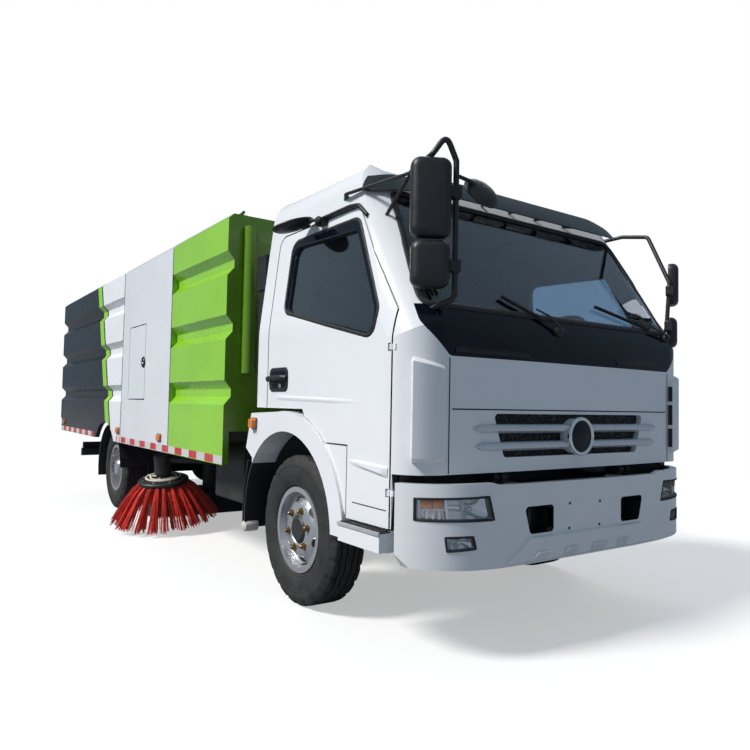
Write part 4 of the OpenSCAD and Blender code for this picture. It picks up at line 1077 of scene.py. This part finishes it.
def bumper_curve(y, inset=0.0):
    """A point on the bumper's front in plan at half width y, pushed in along the normal, and that normal.

    It is flat in the middle, then swept back, then round at the corner.
    """
    s, y = (1 if y >= 0 else -1), abs(y)
    slope = math.hypot(BUMPER_RUN, BUMPER_SWEEP)
    nx, ny = BUMPER_RUN / slope, BUMPER_SWEEP / slope
    cy = BUMPER_SIDE - BUMPER_R
    cx = BUMPER_X - (BUMPER_R + ny * (cy - BUMPER_FLAT)) / nx
    if y > cy + BUMPER_R * ny:
        ny = min(1.0, (y - cy) / BUMPER_R)
        nx = math.sqrt(1 - ny * ny)
        x = cx + BUMPER_R * nx
    elif y > BUMPER_FLAT:
        x = BUMPER_X - BUMPER_SWEEP * (y - BUMPER_FLAT) / BUMPER_RUN
    else:
        x, nx, ny = BUMPER_X, 1.0, 0.0
    return Vector((x - inset * nx, s * (y - inset * ny), 0)), Vector((nx, s * ny, 0))


def on_bumper(y, z, lift):
    p, _ = bumper_curve(y, -lift)
    return Vector((p.x, p.y, z))


def lamp_patch(s, corners, depth, nu, nv, us=(0.0, 1.0), vs=(0.0, 1.0)):
    """Rows of points over a four sided lamp opening, at a depth that may vary with u and v."""
    (yb0, zb0), (yb1, zb1), (yt1, zt1), (yt0, zt0) = corners
    rows = []
    for j in range(nv + 1):
        v = vs[0] + (vs[1] - vs[0]) * j / nv
        line = []
        for i in range(nu + 1):
            u = us[0] + (us[1] - us[0]) * i / nu
            y = (yb0 + (yb1 - yb0) * u) * (1 - v) + (yt0 + (yt1 - yt0) * u) * v
            z = (zb0 + (zb1 - zb0) * u) * (1 - v) + (zt0 + (zt1 - zt0) * u) * v
            line.append(on_bumper(s * y, z, -(depth(u, v) if callable(depth) else depth)))
        rows.append(line)
    return rows


def lamp_spot(s, corners, depth, u, v):
    """A point in a lamp and the way it faces."""
    p = lamp_patch(s, corners, depth, 1, 1, (u, 1), (v, 1))[0][0]
    return p, bumper_curve(p.y)[1]


def lamp_edge(s, corners, depth, gap=12):
    outline = []
    for a, b in zip(corners, corners[1:] + corners[:1]):
        n = max(2, int(math.hypot(b[0] - a[0], b[1] - a[1]) / gap))
        outline += [(a[0] + (b[0] - a[0]) * k / n, a[1] + (b[1] - a[1]) * k / n) for k in range(n)]
    return [on_bumper(s * y, z, -depth) for y, z in outline]


# Openings of head and fog lamps: (half width, height) of their corners.
HEAD = [(634, 600), (974, 609), (974, 699), (664, 702)]
FOG = [(735, 485), (864, 480), (872, 538), (750, 537)]
# Chrome bars of the headlamp: depth, steps across and up, and the spans across and up.
HEAD_BARS = ((14, 2, 8, (0.652, 0.685), (0.02, 0.98)), (16, 20, 2, (0.690, 0.955), (0.475, 0.515)))
HEAD_BULB = [(0, 46), (9, 42), (13, 30), (13, 8), (22, 4), (24, -6), (0, -6)]
FOG_BULB = [(0, 30), (8, 27), (11, 18), (11, 4), (18, 0), (18, -6), (0, -6)]


def bowl(deep, edge):
    return lambda u, v: edge + deep * max(0.0, 1 - (2 * u - 1) ** 2) * max(0.0, 1 - (2 * v - 1) ** 2)


def ribs(u, v):
    return 24 + 5 * math.sin(90 * u)


def lamp_tray(part, s, corners, deep):
    """Black box behind a lamp opening, open to the front."""
    rim = lamp_edge(s, corners, 2)
    part.cup(rim, lamp_edge(s, corners, deep), rubber)
    part.tube(rim, 5.5, rubber, 8, closed=True)


def lamp_bowls(part, s):
    """Reflectors, bars and bulbs of a headlamp and a fog lamp."""
    part.strip(lamp_patch(s, HEAD, bowl(55, 26), 22, 14, (0.02, 0.645), (0.04, 0.96)), reflector)
    part.strip(lamp_patch(s, HEAD, bowl(16, 20), 8, 14, (0.955, 0.995), (0.04, 0.96)), lamp_white)
    part.strip(lamp_patch(s, HEAD, ribs, 26, 8, (0.695, 0.95), (0.05, 0.47)), lamp_white)
    for bar in HEAD_BARS:
        part.strip(lamp_patch(s, HEAD, *bar), chrome)
    for u, v in ((0.30, 0.48), (0.80, 0.24)):
        part.lathe(*lamp_spot(s, HEAD, 70, u, v), HEAD_BULB, lamp_white, 20)
    part.strip(lamp_patch(s, FOG, bowl(34, 22), 14, 10, (0.03, 0.97), (0.05, 0.95)), reflector)
    part.lathe(*lamp_spot(s, FOG, 48, 0.5, 0.5), FOG_BULB, lamp_white, 18)


def turn_lamps(part, s):
    """Two amber lenses above the ribs of a headlamp, each with two raised rings."""
    for u0, u1 in ((0.700, 0.822), (0.832, 0.950)):
        part.strip(lamp_patch(s, HEAD, bowl(-9, 20), 10, 8, (u0, u1), (0.54, 0.94)), amber)
        mid, n = lamp_spot(s, HEAD, 10, (u0 + u1) / 2, 0.74)
        upright = Vector((0, 0, 1))
        for r in (9, 17):
            ring = [mid + n.cross(upright) * c + upright * d for c, d in around(18, r)]
            part.tube(ring, 1.6, amber, 6, closed=True)


lenses = Build()
for name, s in SIDES:
    part = Build()
    lamp_tray(part, s, HEAD, 92)
    lamp_tray(part, s, FOG, 70)
    part.done(f"lamp_trays_{name}", "chassis", sharp=40, fix=False)
    part = Build()
    lamp_bowls(part, s)
    part.done(f"lamp_bowls_{name}", "chassis", sharp=50, fix=False)
    part = Build()
    turn_lamps(part, s)
    part.done(f"turn_lamps_{name}", "chassis", sharp=50, fix=False)
    lenses.strip(lamp_patch(s, HEAD, bowl(-2, 4), 24, 8), lens_clear)
    lenses.strip(lamp_patch(s, FOG, bowl(-1, 4), 12, 6), lens_clear)
o = lenses.done("lamp_lenses", "chassis", sharp=60, fix=False, slot="clear_glass")
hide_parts("front_lamps")

APRON_LOW, APRON_TOP, APRON_HALF, APRON_FLARE = 394, 510, 418, 1.42
APRON_ROWS, APRON_COLS = 14, 48
STEP_LOW, STEP_TOP, STEP_CUT = 402, 440, 26
BOX_FACES = [[0, 1, 2, 3], [4, 7, 6, 5], [0, 4, 5, 1], [1, 5, 6, 2], [2, 6, 7, 3], [3, 7, 4, 0]]
POCKET = [(258, 519, 20), (416, 519, 20), (451, 644, 20), (258, 644, 20)]
POCKET_DEEP = 95
part = Build()
grid = []
for j in range(APRON_ROWS + 1):
    z = APRON_LOW + (APRON_TOP - APRON_LOW) * j / APRON_ROWS
    half = APRON_HALF + (APRON_TOP - z) * APRON_FLARE
    across = [-half + 2 * half * i / APRON_COLS for i in range(APRON_COLS + 1)]
    grid.append([(on_bumper(y, z, 0), Vector((1, 0, 0))) for y in across])
part.strip(raised(grid, 15), white_paint)
for a, b in ((-415, -317), (-205, -100), (-8, 118), (195, 292)):
    block = [(a, STEP_LOW, 15), (b - STEP_CUT, STEP_LOW, 15), (b, STEP_TOP, 34), (a + STEP_CUT, STEP_TOP, 34)]
    v = [on_bumper(y, z, d) for y, z, d in block] + [on_bumper(y, z, 4) for y, z, _ in block]
    part.add(v, BOX_FACES, white_paint)
part.done("bumper_apron", "chassis", bevel=1.5, sharp=40, fix=False)
part = Build()
for y, z in ((-143, 640), (87, 636), (-146, 524), (83, 522)):
    part.lathe(on_bumper(y, z, -1), (1, 0, 0), [(7, 0), (7, 2), (5, 2.6), (4, 1), (0, 1)], rubber, 16)
for s in (-1, 1):
    rim = [on_bumper(s * y, z, -3) for y, z in dense(rounded(POCKET, 5), 30)]
    part.cup(rim, [p - Vector((POCKET_DEEP, 0, 0)) for p in rim], rubber)
    part.tube(rim, 3, rubber, 6, closed=True)
    part.tube([(1085, s * 350, 545), (1085, s * 350, 620)], 14, dark_steel, 10)
part.done("bumper_pockets", "chassis", sharp=40, fix=False)

# Door creases, sills, steps

RIDGE_STEPS = 16
LINE_Z, LINE_X, LINE_FALL = 640, 580, 0.012
STEP_X0, STEP_X1, STEP_RIBS = 600, 926, 13


def ridge(part, s, a, b, flare, drop):
    """A crease on a door: a wedge from a to b, out by flare, down by drop, fading at both ends."""
    rows = []
    for k in range(RIDGE_STEPS + 1):
        t = k / RIDGE_STEPS
        x, z = a[0] + (b[0] - a[0]) * t, a[1] + (b[1] - a[1]) * t
        base = abs(on_side(bvh_side[s], x, z, s).y)
        crest = s * (base + flare * min(1.0, 2.5 * t + 0.05, 12 * (1 - t) + 0.3))
        foot = s * (base - 1)
        rows.append([(x, foot, z + 6), (x, crest, z - 5), (x, crest, z - 9 - drop * t),
                     (x, foot, z - 24 - drop * t)])
    part.strip([list(c) for c in zip(*rows)], white_paint)


for name, s in SIDES:
    part = Build()
    ridge(part, s, (700, 1108), (-150, 1130), 5, 4)
    ridge(part, s, (598, 834), (908, 822), 10, 26)
    line = [on_side(bvh_side[s], x, LINE_Z - LINE_FALL * (x - LINE_X), s, 0.4) for x in range(640, 905, 29)]
    part.tube(line, 2.2, rubber, 6)
    part.done(f"door_creases_{name}", f"door_{name}", sharp=30, fix=False)
    part = Build()
    part.box((941, s * 955, 430), (949, s * 1000, 800), black_plastic)
    rail = [(205, s * 988, 2062), (480, s * 986, 2066), (560, s * 984, 2058), (640, s * 988, 1990)]
    part.tube(bend(rail, 60), 11, black_plastic, 10)
    part.done(f"door_seals_{name}", "cab", sharp=40)
    part = Build()
    part.box((STEP_X0, s * 1040, 462), (STEP_X1, s * 1090, 545), white_paint)
    part.box((STEP_X0 - 2, s * 1030, 544), (STEP_X1 + 2, s * 1092, 549), black_plastic)
    part.box((STEP_X0 - 2, s * 1087, 534), (STEP_X1 + 2, s * 1095, 551), step_grey)
    for k in range(STEP_RIBS):
        x = STEP_X0 + 6 + 24.5 * k
        part.prism([(x, 548), (x + 13, 548), (x + 11, 554), (x + 2, 554)], "y", s * 1034, s * 1086,
                   black_plastic)
    part.done(f"step_tread_{name}", "cab", bevel=1.5)

# Wipers and cowl

SCREEN_OUT = Vector((0.84, 0, 0.54))
WIPER_FOOT = [(0, 34), (16, 33), (20, 26), (21, 12), (26, 8), (26, 0), (0, 0)]
# Each wiper by (y, z) of its pivot, the end of its arm and the way its blade points.
WIPERS = (((-116, 1466), (-240, 1560), (-420, 1600)), ((846, 1505), (560, 1580), (330, 1626)))


def glass_point(y, z, lift):
    return on_front(bvh_cab, y, z) + SCREEN_OUT * lift


def between(a, b, t):
    return [p + (q - p) * t for p, q in zip(a, b)]


part = Build()
for pivot, tip, way in WIPERS:
    part.lathe(glass_point(*pivot, -4), SCREEN_OUT, WIPER_FOOT, black_plastic, 20)
    arm = [glass_point(*between(pivot, tip, k / 8), 24 + 10 * math.sin(math.pi * k / 8)) for k in range(9)]
    part.tube(arm, [11 - 0.5 * k for k in range(9)], black_plastic, 8, flat=(SCREEN_OUT, 0.55))
    blade = [glass_point(*between(pivot, way, 0.28 + 0.80 * k / 12), 12) for k in range(13)]
    part.tube(blade, 7, rubber, 6)
    part.tube([p + SCREEN_OUT * 9 for p in blade], 6, black_plastic, 6, flat=(SCREEN_OUT, 0.7))
part.done("wipers", "cab", sharp=40)

part = Build()
for start, end in (((-800, 1336), (-330, 1330)), ((330, 1332), (720, 1338))):
    spots = [between(start, end, k / 16) for k in range(17)]
    rows = [[on_front(bvh_front, y, z + h, 1.2) for y, z in spots] for h in (-11, -4, 4, 11)]
    part.strip(rows, rubber)
    part.tube(rows[0] + list(reversed(rows[-1])), 3.2, gloss_black, 6, closed=True)
part.done("cowl_slots", "cab", sharp=40, fix=False)

# Front disc and grille bars

DISC_AT = (1108, 0, 953)
DISC_RIM = [(94, -4), (95, 6), (92, 13), (86, 15), (80, 13), (77, 6), (77, 2)]
BAR_STEPS, BAR_FADE = 80, 48
part = Build()
part.lathe(DISC_AT, (1, 0, 0), DISC_RIM, chrome, 56)
part.lathe(DISC_AT, (1, 0, 0), [(78, 0), (78, 3), (50, 6), (20, 7.5), (0, 8)], gloss_black, 48)
for z, half in ((993, 702), (913, 690)):
    rows = []
    for k in range(BAR_STEPS + 1):
        y = -half + 2 * half * k / BAR_STEPS
        t = min(1.0, (half - abs(y)) / BAR_FADE)
        x = max(on_front(bvh_front, y, z + dz).x for dz in (-9, 0, 9))
        section = ((-16, -4 - 18 * t), (2 + 5 * t, -11 * t), (2 + 9 * t, 5 * t), (2 + 4 * t, 14 * t),
                   (-16, 4 + 16 * t))
        rows.append([(x + dx, y, z + dz) for dx, dz in section])
    part.strip(rows, bar_silver)
part.done("front_disc", "cab", sharp=50)

# Roof lamps

ROOF_LENS = [(38, 6), (37, 14), (30, 22), (16, 27), (0, 28)]
ROOF_LAMP_X, ABOVE_ROOF = 300, 3000
part = Build()
for y in (-700, -350, 0, 350, 700):
    top, _ = hit(bvh_cab, (ROOF_LAMP_X, y, ABOVE_ROOF), (0, 0, -1))
    part.lathe(top, (0, 0, 1), [(44, -3), (46, 5), (40, 9)], black_plastic, 28)
    part.lathe(top, (0, 0, 1), ROOF_LENS, amber if y else lamp_white, 28)
part.done("roof_lamps", "cab", sharp=50)

# Faces of CAD nodes with a material of their own, and painted shade on the engine housing's front wall


def tone(nm, mat, pick):
    """Gives another material to faces of a node, which pick chooses by middle (mm) and normal."""
    me = NODES[nm].data
    me.materials.append(mat)
    k = len(me.materials) - 1
    for p in me.polygons:
        if pick(axle(p.center), p.normal):
            p.material_index = k


CAB_MIDDLE = Vector((200, 0, 1600))
RIM_HUB_R = 87
HOUSING_FRONT = max(axle(v.co).x for v in NODES["engine_housing"].data.vertices) - 90


def faces_in(c, n):
    """Faces that look into the cab."""
    inside = 1090 < c.z < 2325 and abs(c.y) < 1028 and -392 < c.x < 1040
    return inside and n.dot(CAB_MIDDLE - c) > 0


for nm in ("cab_shell", "door_right", "door_left"):
    tone(nm, cab_trim, faces_in)
tone("cab_shell", rubber, lambda c, n: c.x > 880 and c.z < 800 and abs(c.y) < 900)
tone("cab_shell", rubber, lambda c, n: n.x < -0.9 and 912 < c.x < 940 and abs(c.y) > 940)
for nm in ("door_right", "door_left"):
    tone(nm, rubber, lambda c, n: n.x > 0.9 and c.x > 905)
# Painted shade: the engine housing's front wall, shaded by the cab, gets the darker green.
tone("engine_housing", green_painted_shade,
     lambda c, n: c.x > HOUSING_FRONT + 8 or c.x > HOUSING_FRONT - 10 and n.x > 0.7)
tone("rear_lamps", black_plastic, lambda c, n: n.x > -0.6)
tone("cab_glass", rear_glass, lambda c, n: c.x < 0)
for nm in ("rim_front_left", "rim_front_right"):
    tone(nm, dark_steel, lambda c, n: math.hypot(c.x, c.z - WHEEL_Z) < RIM_HUB_R and abs(c.y) > WHEEL_Y + 55)

# Sun visor

VISOR_LOW, VISOR_MID, VISOR_HIGH, VISOR_EYE = 2163.0, 2216.0, 2269.0, Vector((300.0, 0.0, 0.0))
bvh_visor = skin("sun_visor")


def visor_point(deg, z, pull=0.0):
    out = heading(deg)
    p, _ = hit(bvh_visor, VISOR_EYE + out * 1500 + Vector((0, 0, z)), -out)
    return None if p is None else p - out * pull


def ease(d, reach):
    t = min(1.0, d / reach)
    return t * t * (3 - 2 * t)


VISOR_ROWS = (VISOR_MID, VISOR_LOW, VISOR_HIGH)
found = [d / 2 for d in range(-180, 181) if all(visor_point(d / 2, z) for z in VISOR_ROWS)]
spine = [visor_point(d, VISOR_MID) for d in found]
reach = [0.0]
for a, b in zip(spine, spine[1:]):
    reach.append(reach[-1] + (b - a).length)
cols = []
for deg, near in zip(found, reach):
    far_end = reach[-1] - near
    round_off = 1 - math.sqrt(1 - (1 - min(1.0, far_end / 120)) ** 2)
    top = VISOR_HIGH - 16 * (1 - ease(near, 120)) - 74 * round_off
    low = VISOR_LOW + 10 * (1 - ease(near, 60))
    pull = 30 * (1 - ease(near, 420)) + 10 * (1 - ease(far_end, 200))
    drop = Vector((0, 0, 44 * (1 - ease(near, 650))))
    steps = [k / 8 for k in range(9)]
    spots = [visor_point(deg, low + (top - low) * t, pull + 4 * (2 * t - 1) ** 2) for t in steps]
    cols.append([p - drop for p in spots])
part = Build()
part.strip(cols, visor_grey, thick=(-6, 0, -4))
for deg in (-62, -34, 0, 34, 56):
    p = cols[min(range(len(found)), key=lambda i: abs(found[i] - deg))][1]
    foot, _ = hit(bvh_cab, p + Vector((0, 0, 8)), -heading(deg))
    if foot is not None:
        part.tube([p - Vector((6, 0, 4)), (p + foot) / 2 + Vector((0, 0, 5)), foot], 9, black_plastic, 8)
o = part.done("visor_shield", "cab", bevel=1.5, sharp=50)
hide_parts("sun_visor")

# Mirrors

MIRROR_X, MIRROR_Y, ROOF = 1100.0, 840.0, 2337.0
MIRROR_TURN = math.radians(30)
# A mirror's housing from its back rim to its crown: (inset, how far ahead).
HOUSING = ((2, -8), (0, -4), (0, 16), (3, 28), (9, 38), (18, 45), (32, 49))


def mirror_head(part, x, y, us, zs, r=42):
    """A rounded housing on a turned plate, crowned towards the front, with glass behind."""
    turn = Matrix.Translation((x, y, 0)) @ Matrix.Rotation(MIRROR_TURN, 4, "Z")

    def outline(inset, radius, ahead_by):
        pts = slab((us[0] + inset, zs[0] + inset), (us[1] - inset, zs[1] - inset), radius, 8)
        return [turn @ Vector((ahead_by, *p)) for p in pts]

    rings = [outline(inset, max(8, r - inset * 0.6), d) for inset, d in HOUSING]
    n = len(rings[0])
    ends = [list(range(n - 1, -1, -1)), [(len(rings) - 1) * n + k for k in range(n)]]
    part.add([p for ring in rings for p in ring], ring_faces(len(rings), n) + ends, black_plastic)
    pane = outline(10, r - 8, -9)
    part.add(pane, [list(range(len(pane)))], mirror_glass)


def mirror_clamp(part, x, y, z):
    turn = Matrix.Rotation(MIRROR_TURN, 3, "Z")
    part.box((x - 22, y - 22, z - 24), (x + 22, y + 26, z + 24), black_plastic, turn)
    part.lathe((x, y, z - 30), (0, 0, 1), [(18, 0), (20, 3), (20, 57), (18, 60)], black_plastic, 20)


def arm_points(*rows):
    """Points given across from the mirror's post, as (x, across, z)."""
    return [(x, MIRROR_Y + across, z) for x, across, z in rows]


mirrors = Build()
joint = (925, 110, ROOF - 213)
arm = arm_points((960, 85, 1490), (MIRROR_X, 0, 1552), (MIRROR_X, 0, ROOF - 187),
                 (MIRROR_X - 10, 50, ROOF - 82), (1060, 100, ROOF - 167), joint)
mirrors.tube(bend(arm, 34), 13, black_plastic, 14)
stay = arm_points(joint, (455, 150, ROOF - 201), (400, 116, ROOF - 212))
mirrors.tube(bend(stay, 30), 12, black_plastic, 12, flat=((0, 0.3, 1), 0.7))
mirrors.tube(arm_points((660, 72, ROOF - 372), joint), 9, black_plastic, 10)
for spot, way, rows, n in (
        ((955, 92, 1478), (0.5, 0.75, 0.3), [(34, -6), (36, 0), (36, 10), (26, 20), (16, 26), (0, 27)], 24),
        ((660, 70, ROOF - 374), (0.3, 0.9, 0.1), [(22, -8), (22, 6), (15, 10), (0, 11)], 18)):
    mirrors.lathe(arm_points(spot)[0], way, rows, black_plastic, n)
mirror_head(mirrors, MIRROR_X, MIRROR_Y, (22, 200), (1805, ROOF - 182))
mirror_head(mirrors, MIRROR_X, MIRROR_Y, (26, 196), (1590, 1797))
mirror_clamp(mirrors, MIRROR_X, MIRROR_Y, 2010)
mirror_clamp(mirrors, MIRROR_X, MIRROR_Y, 1690)
bracket = arm_points((MIRROR_X, 0, ROOF - 250), (MIRROR_X + 8, -70, ROOF - 262),
                     (MIRROR_X + 10, -140, ROOF - 290))
mirrors.tube(bracket, 9, black_plastic, 10)
dome = [(0, 20), (30, 18), (58, 12), (78, 3), (89, -8), (92, -14), (90, -18), (84, -15), (0, -15)]
mirrors.lathe((MIRROR_X + 12, MIRROR_Y - 150, ROOF - 292), (0.82, 0, 0.57), dome, black_plastic, 44)
mirrors = mirrors.mirrored()
left = Build()
grip = Vector((1014, MIRROR_Y + 104, 1848))
arm = arm_points((545, 60, ROOF - 167), (690, 110, ROOF - 150), (863, 116, ROOF - 183), (1014, 104, 1848),
                 (1000, 96, 1570), (945, 80, 1500))
left.tube(bend(arm, 40), 12, black_plastic, 14)
mirror_head(left, grip.x, grip.y, (22, 190), (1725, 1975))
mirror_head(left, grip.x - 8, grip.y, (26, 180), (1470, 1650))
mirror_clamp(left, grip.x, grip.y, 1800)
mirror_clamp(left, grip.x - 8, grip.y, 1590)
mirrors.join(left)
o = mirrors.done("mirror_set", "cab", sharp=40)
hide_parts("mirrors")

KERB_AT, KERB_DIP, KERB_SQUEEZE = (80, -1085, 2036), math.radians(17), 0.74
KERB_DOME = [(0, 22), (55, 20), (92, 12), (110, 0), (115, -9), (112, -14), (0, -14)]
part = Build()
stem = [(232, -960, 2030), (232, -1010, 2046), (205, -1030, 2052), (116, -1034, 2058)]
part.tube(bend(stem, 25), 9, black_plastic, 12)
part.box((200, -1012, 2022), (262, -962, 2062), black_plastic)
knuckle = [(22, -14), (24, -8), (24, 12), (16, 20), (0, 20)]
part.lathe((232, -1012, 2044), (0, -1, 0.2), knuckle, black_plastic, 20)
long_way = Vector((-0.577, -0.817, 0)) * math.cos(KERB_DIP) + Vector((0, 0, -math.sin(KERB_DIP)))
across = Vector((0.817, -0.577, 0))
turn = Matrix((long_way, across, long_way.cross(across) * -1)).transposed().to_4x4()
shell = Build()
for spot, rows, mat, n in (
        ((0, 0, 0), KERB_DOME, black_plastic, 44),
        ((0, 0, 0), [(0, -20), (55, -18.5), (106, -14.5), (106, -13), (0, -13)], dark_mirror, 44),
        ((-62, 0, 14), [(30, -8), (30, 6), (22, 14), (0, 15)], black_plastic, 20)):
    shell.lathe(spot, (0, 0, 1), rows, mat, n)
part.join(shell.moved(Matrix.Translation(KERB_AT) @ turn @ Matrix.Diagonal((1, KERB_SQUEEZE, 1, 1))))
o = part.done("kerb_mirror", "door_right", bevel=1, sharp=45)
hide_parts("curb_mirror")

# Wheel arch liners, repeaters, mudguard caps

LINER_R, LINER_AT, LINER_STEPS = 484, Vector((-20, 440)), 28
CAP = [(0, 0), (34, 0), (36, 6), (36, 60), (32, 82), (20, 90), (0, 91)]
for name, s in SIDES:
    part = Build()
    sheet = []
    for k in range(LINER_STEPS + 1):
        a = math.radians(12 + 136 * k / LINER_STEPS)
        x, z = LINER_AT.x + LINER_R * math.cos(a), LINER_AT.y + LINER_R * math.sin(a)
        sheet.append([(x, s * y, z) for y in (560, 700, 820, 908)])
    part.strip(sheet, black_plastic)
    part.done(f"arch_liner_{name}", "cab", sharp=50, fix=False)
    part = Build()
    part.prism(slab((-432, 930), (-360, 1000), 12), "y", s * 1053, s * 1062, grey_plastic)
    part.prism(slab((-427, 935), (-365, 995), 14), "y", s * 1061, s * 1086, amber, 0.88)
    part.done(f"repeater_{name}", "cab", bevel=2)
    part = Build()
    part.lathe((-536, s * 960, 345), (0, s, 0), CAP, pale_cap, 28)
    edge = [(-548, s * 1040, 345), (-540, s * 1044, 560), (-490, s * 1044, 740)]
    part.tube(bend(edge, 200, 8), 9, rubber, 8)
    part.done(f"guard_cap_{name}", "chassis")

# Interior

SQUARENESS = 5.0


def pillow(part, centre, size, mat, lean=0.0, puff=0.35, n=14):
    """A stuffed block: sides pull in between the corners and the faces crown."""
    verts, faces, grid = [], [], {}
    turn = Matrix.Rotation(math.radians(lean), 3, "Y")

    def vert(*key):
        if key not in grid:
            u, v, w = (2 * i / n - 1 for i in key)
            big = sum(abs(t) ** SQUARENESS for t in (u, v, w)) ** (1 / SQUARENESS)
            p = Vector((u, v, w)) / max(big, 1e-6) * max(abs(u), abs(v), abs(w))
            crown = 1 + puff * 0.18 * (1 - u * u) * (1 - v * v)
            pinch = 1 - 0.05 * puff * (1 - w * w)
            q = Vector((p.x * size[0] / 2 * pinch, p.y * size[1] / 2 * pinch, p.z * size[2] / 2 * crown))
            grid[key] = len(verts)
            verts.append(Vector(centre) + turn @ q)
        return grid[key]

    for a in range(n):
        for c in range(n):
            for axis in range(3):
                for end in (0, n):
                    quad = []
                    for da, dc in ((0, 0), (1, 0), (1, 1), (0, 1)):
                        key = [a + da, c + dc]
                        key.insert(axis, end)
                        quad.append(vert(*key))
                    faces.append(quad)
    part.add(verts, faces, mat)


def seat(name, y, width):
    part = Build()
    pillow(part, (-60, y, 1355), (470, width, 130), seat_cloth, lean=-4, puff=0.9)
    pillow(part, (-262, y, 1620), (110, width * 0.94, 470), seat_cloth, lean=-9, puff=0.5)
    pillow(part, (-312, y, 1910), (80, min(width * 0.6, 300), 150), seat_cloth, lean=-9, puff=0.5)
    o = part.done(name, "cab", sharp=70)


DRIVER_Y, MIDDLE_Y, MATE_Y = 480, -60, -520
seat("seat_driver", DRIVER_Y, 470)
seat("seat_mate", MATE_Y, 440)
seat("seat_middle", MIDDLE_Y, 430)
DASH = [(730, 1160), (872, 1128), (872, 1455), (820, 1490), (740, 1462), (690, 1430)]
BINNACLE = [(640, 1440, 10), (760, 1440, 20), (800, 1500, 20), (720, 1560, 30), (660, 1540, 20)]
part = Build()
part.prism(DASH, "y", -955, 955, cab_trim)
part.prism(rounded(BINNACLE), "y", DRIVER_Y - 150, DRIVER_Y + 150, cab_trim)
for y in (-DRIVER_Y, MIDDLE_Y, DRIVER_Y):
    part.box((-320, y - 190, 1117), (130, y + 190, 1292), cab_trim)
part.tube([(532, DRIVER_Y, 1483), (756, DRIVER_Y, 1163)], 30, cab_trim, 16)
part.tube([(470, DRIVER_Y, 1571), (540, DRIVER_Y, 1471)], 11, cab_trim, 12)
lever = [(480, MIDDLE_Y, 1118), (470, MIDDLE_Y, 1330), (430, MIDDLE_Y, 1420)]
part.tube(bend(lever, 60), 11, black_plastic, 10)
pillow(part, (428, MIDDLE_Y, 1440), (56, 56, 62), black_plastic)
part.box((700, -420, 1250), (735, -80, 1420), black_plastic)
o = part.done("dashboard", "cab", bevel=8)
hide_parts("cab_interior")
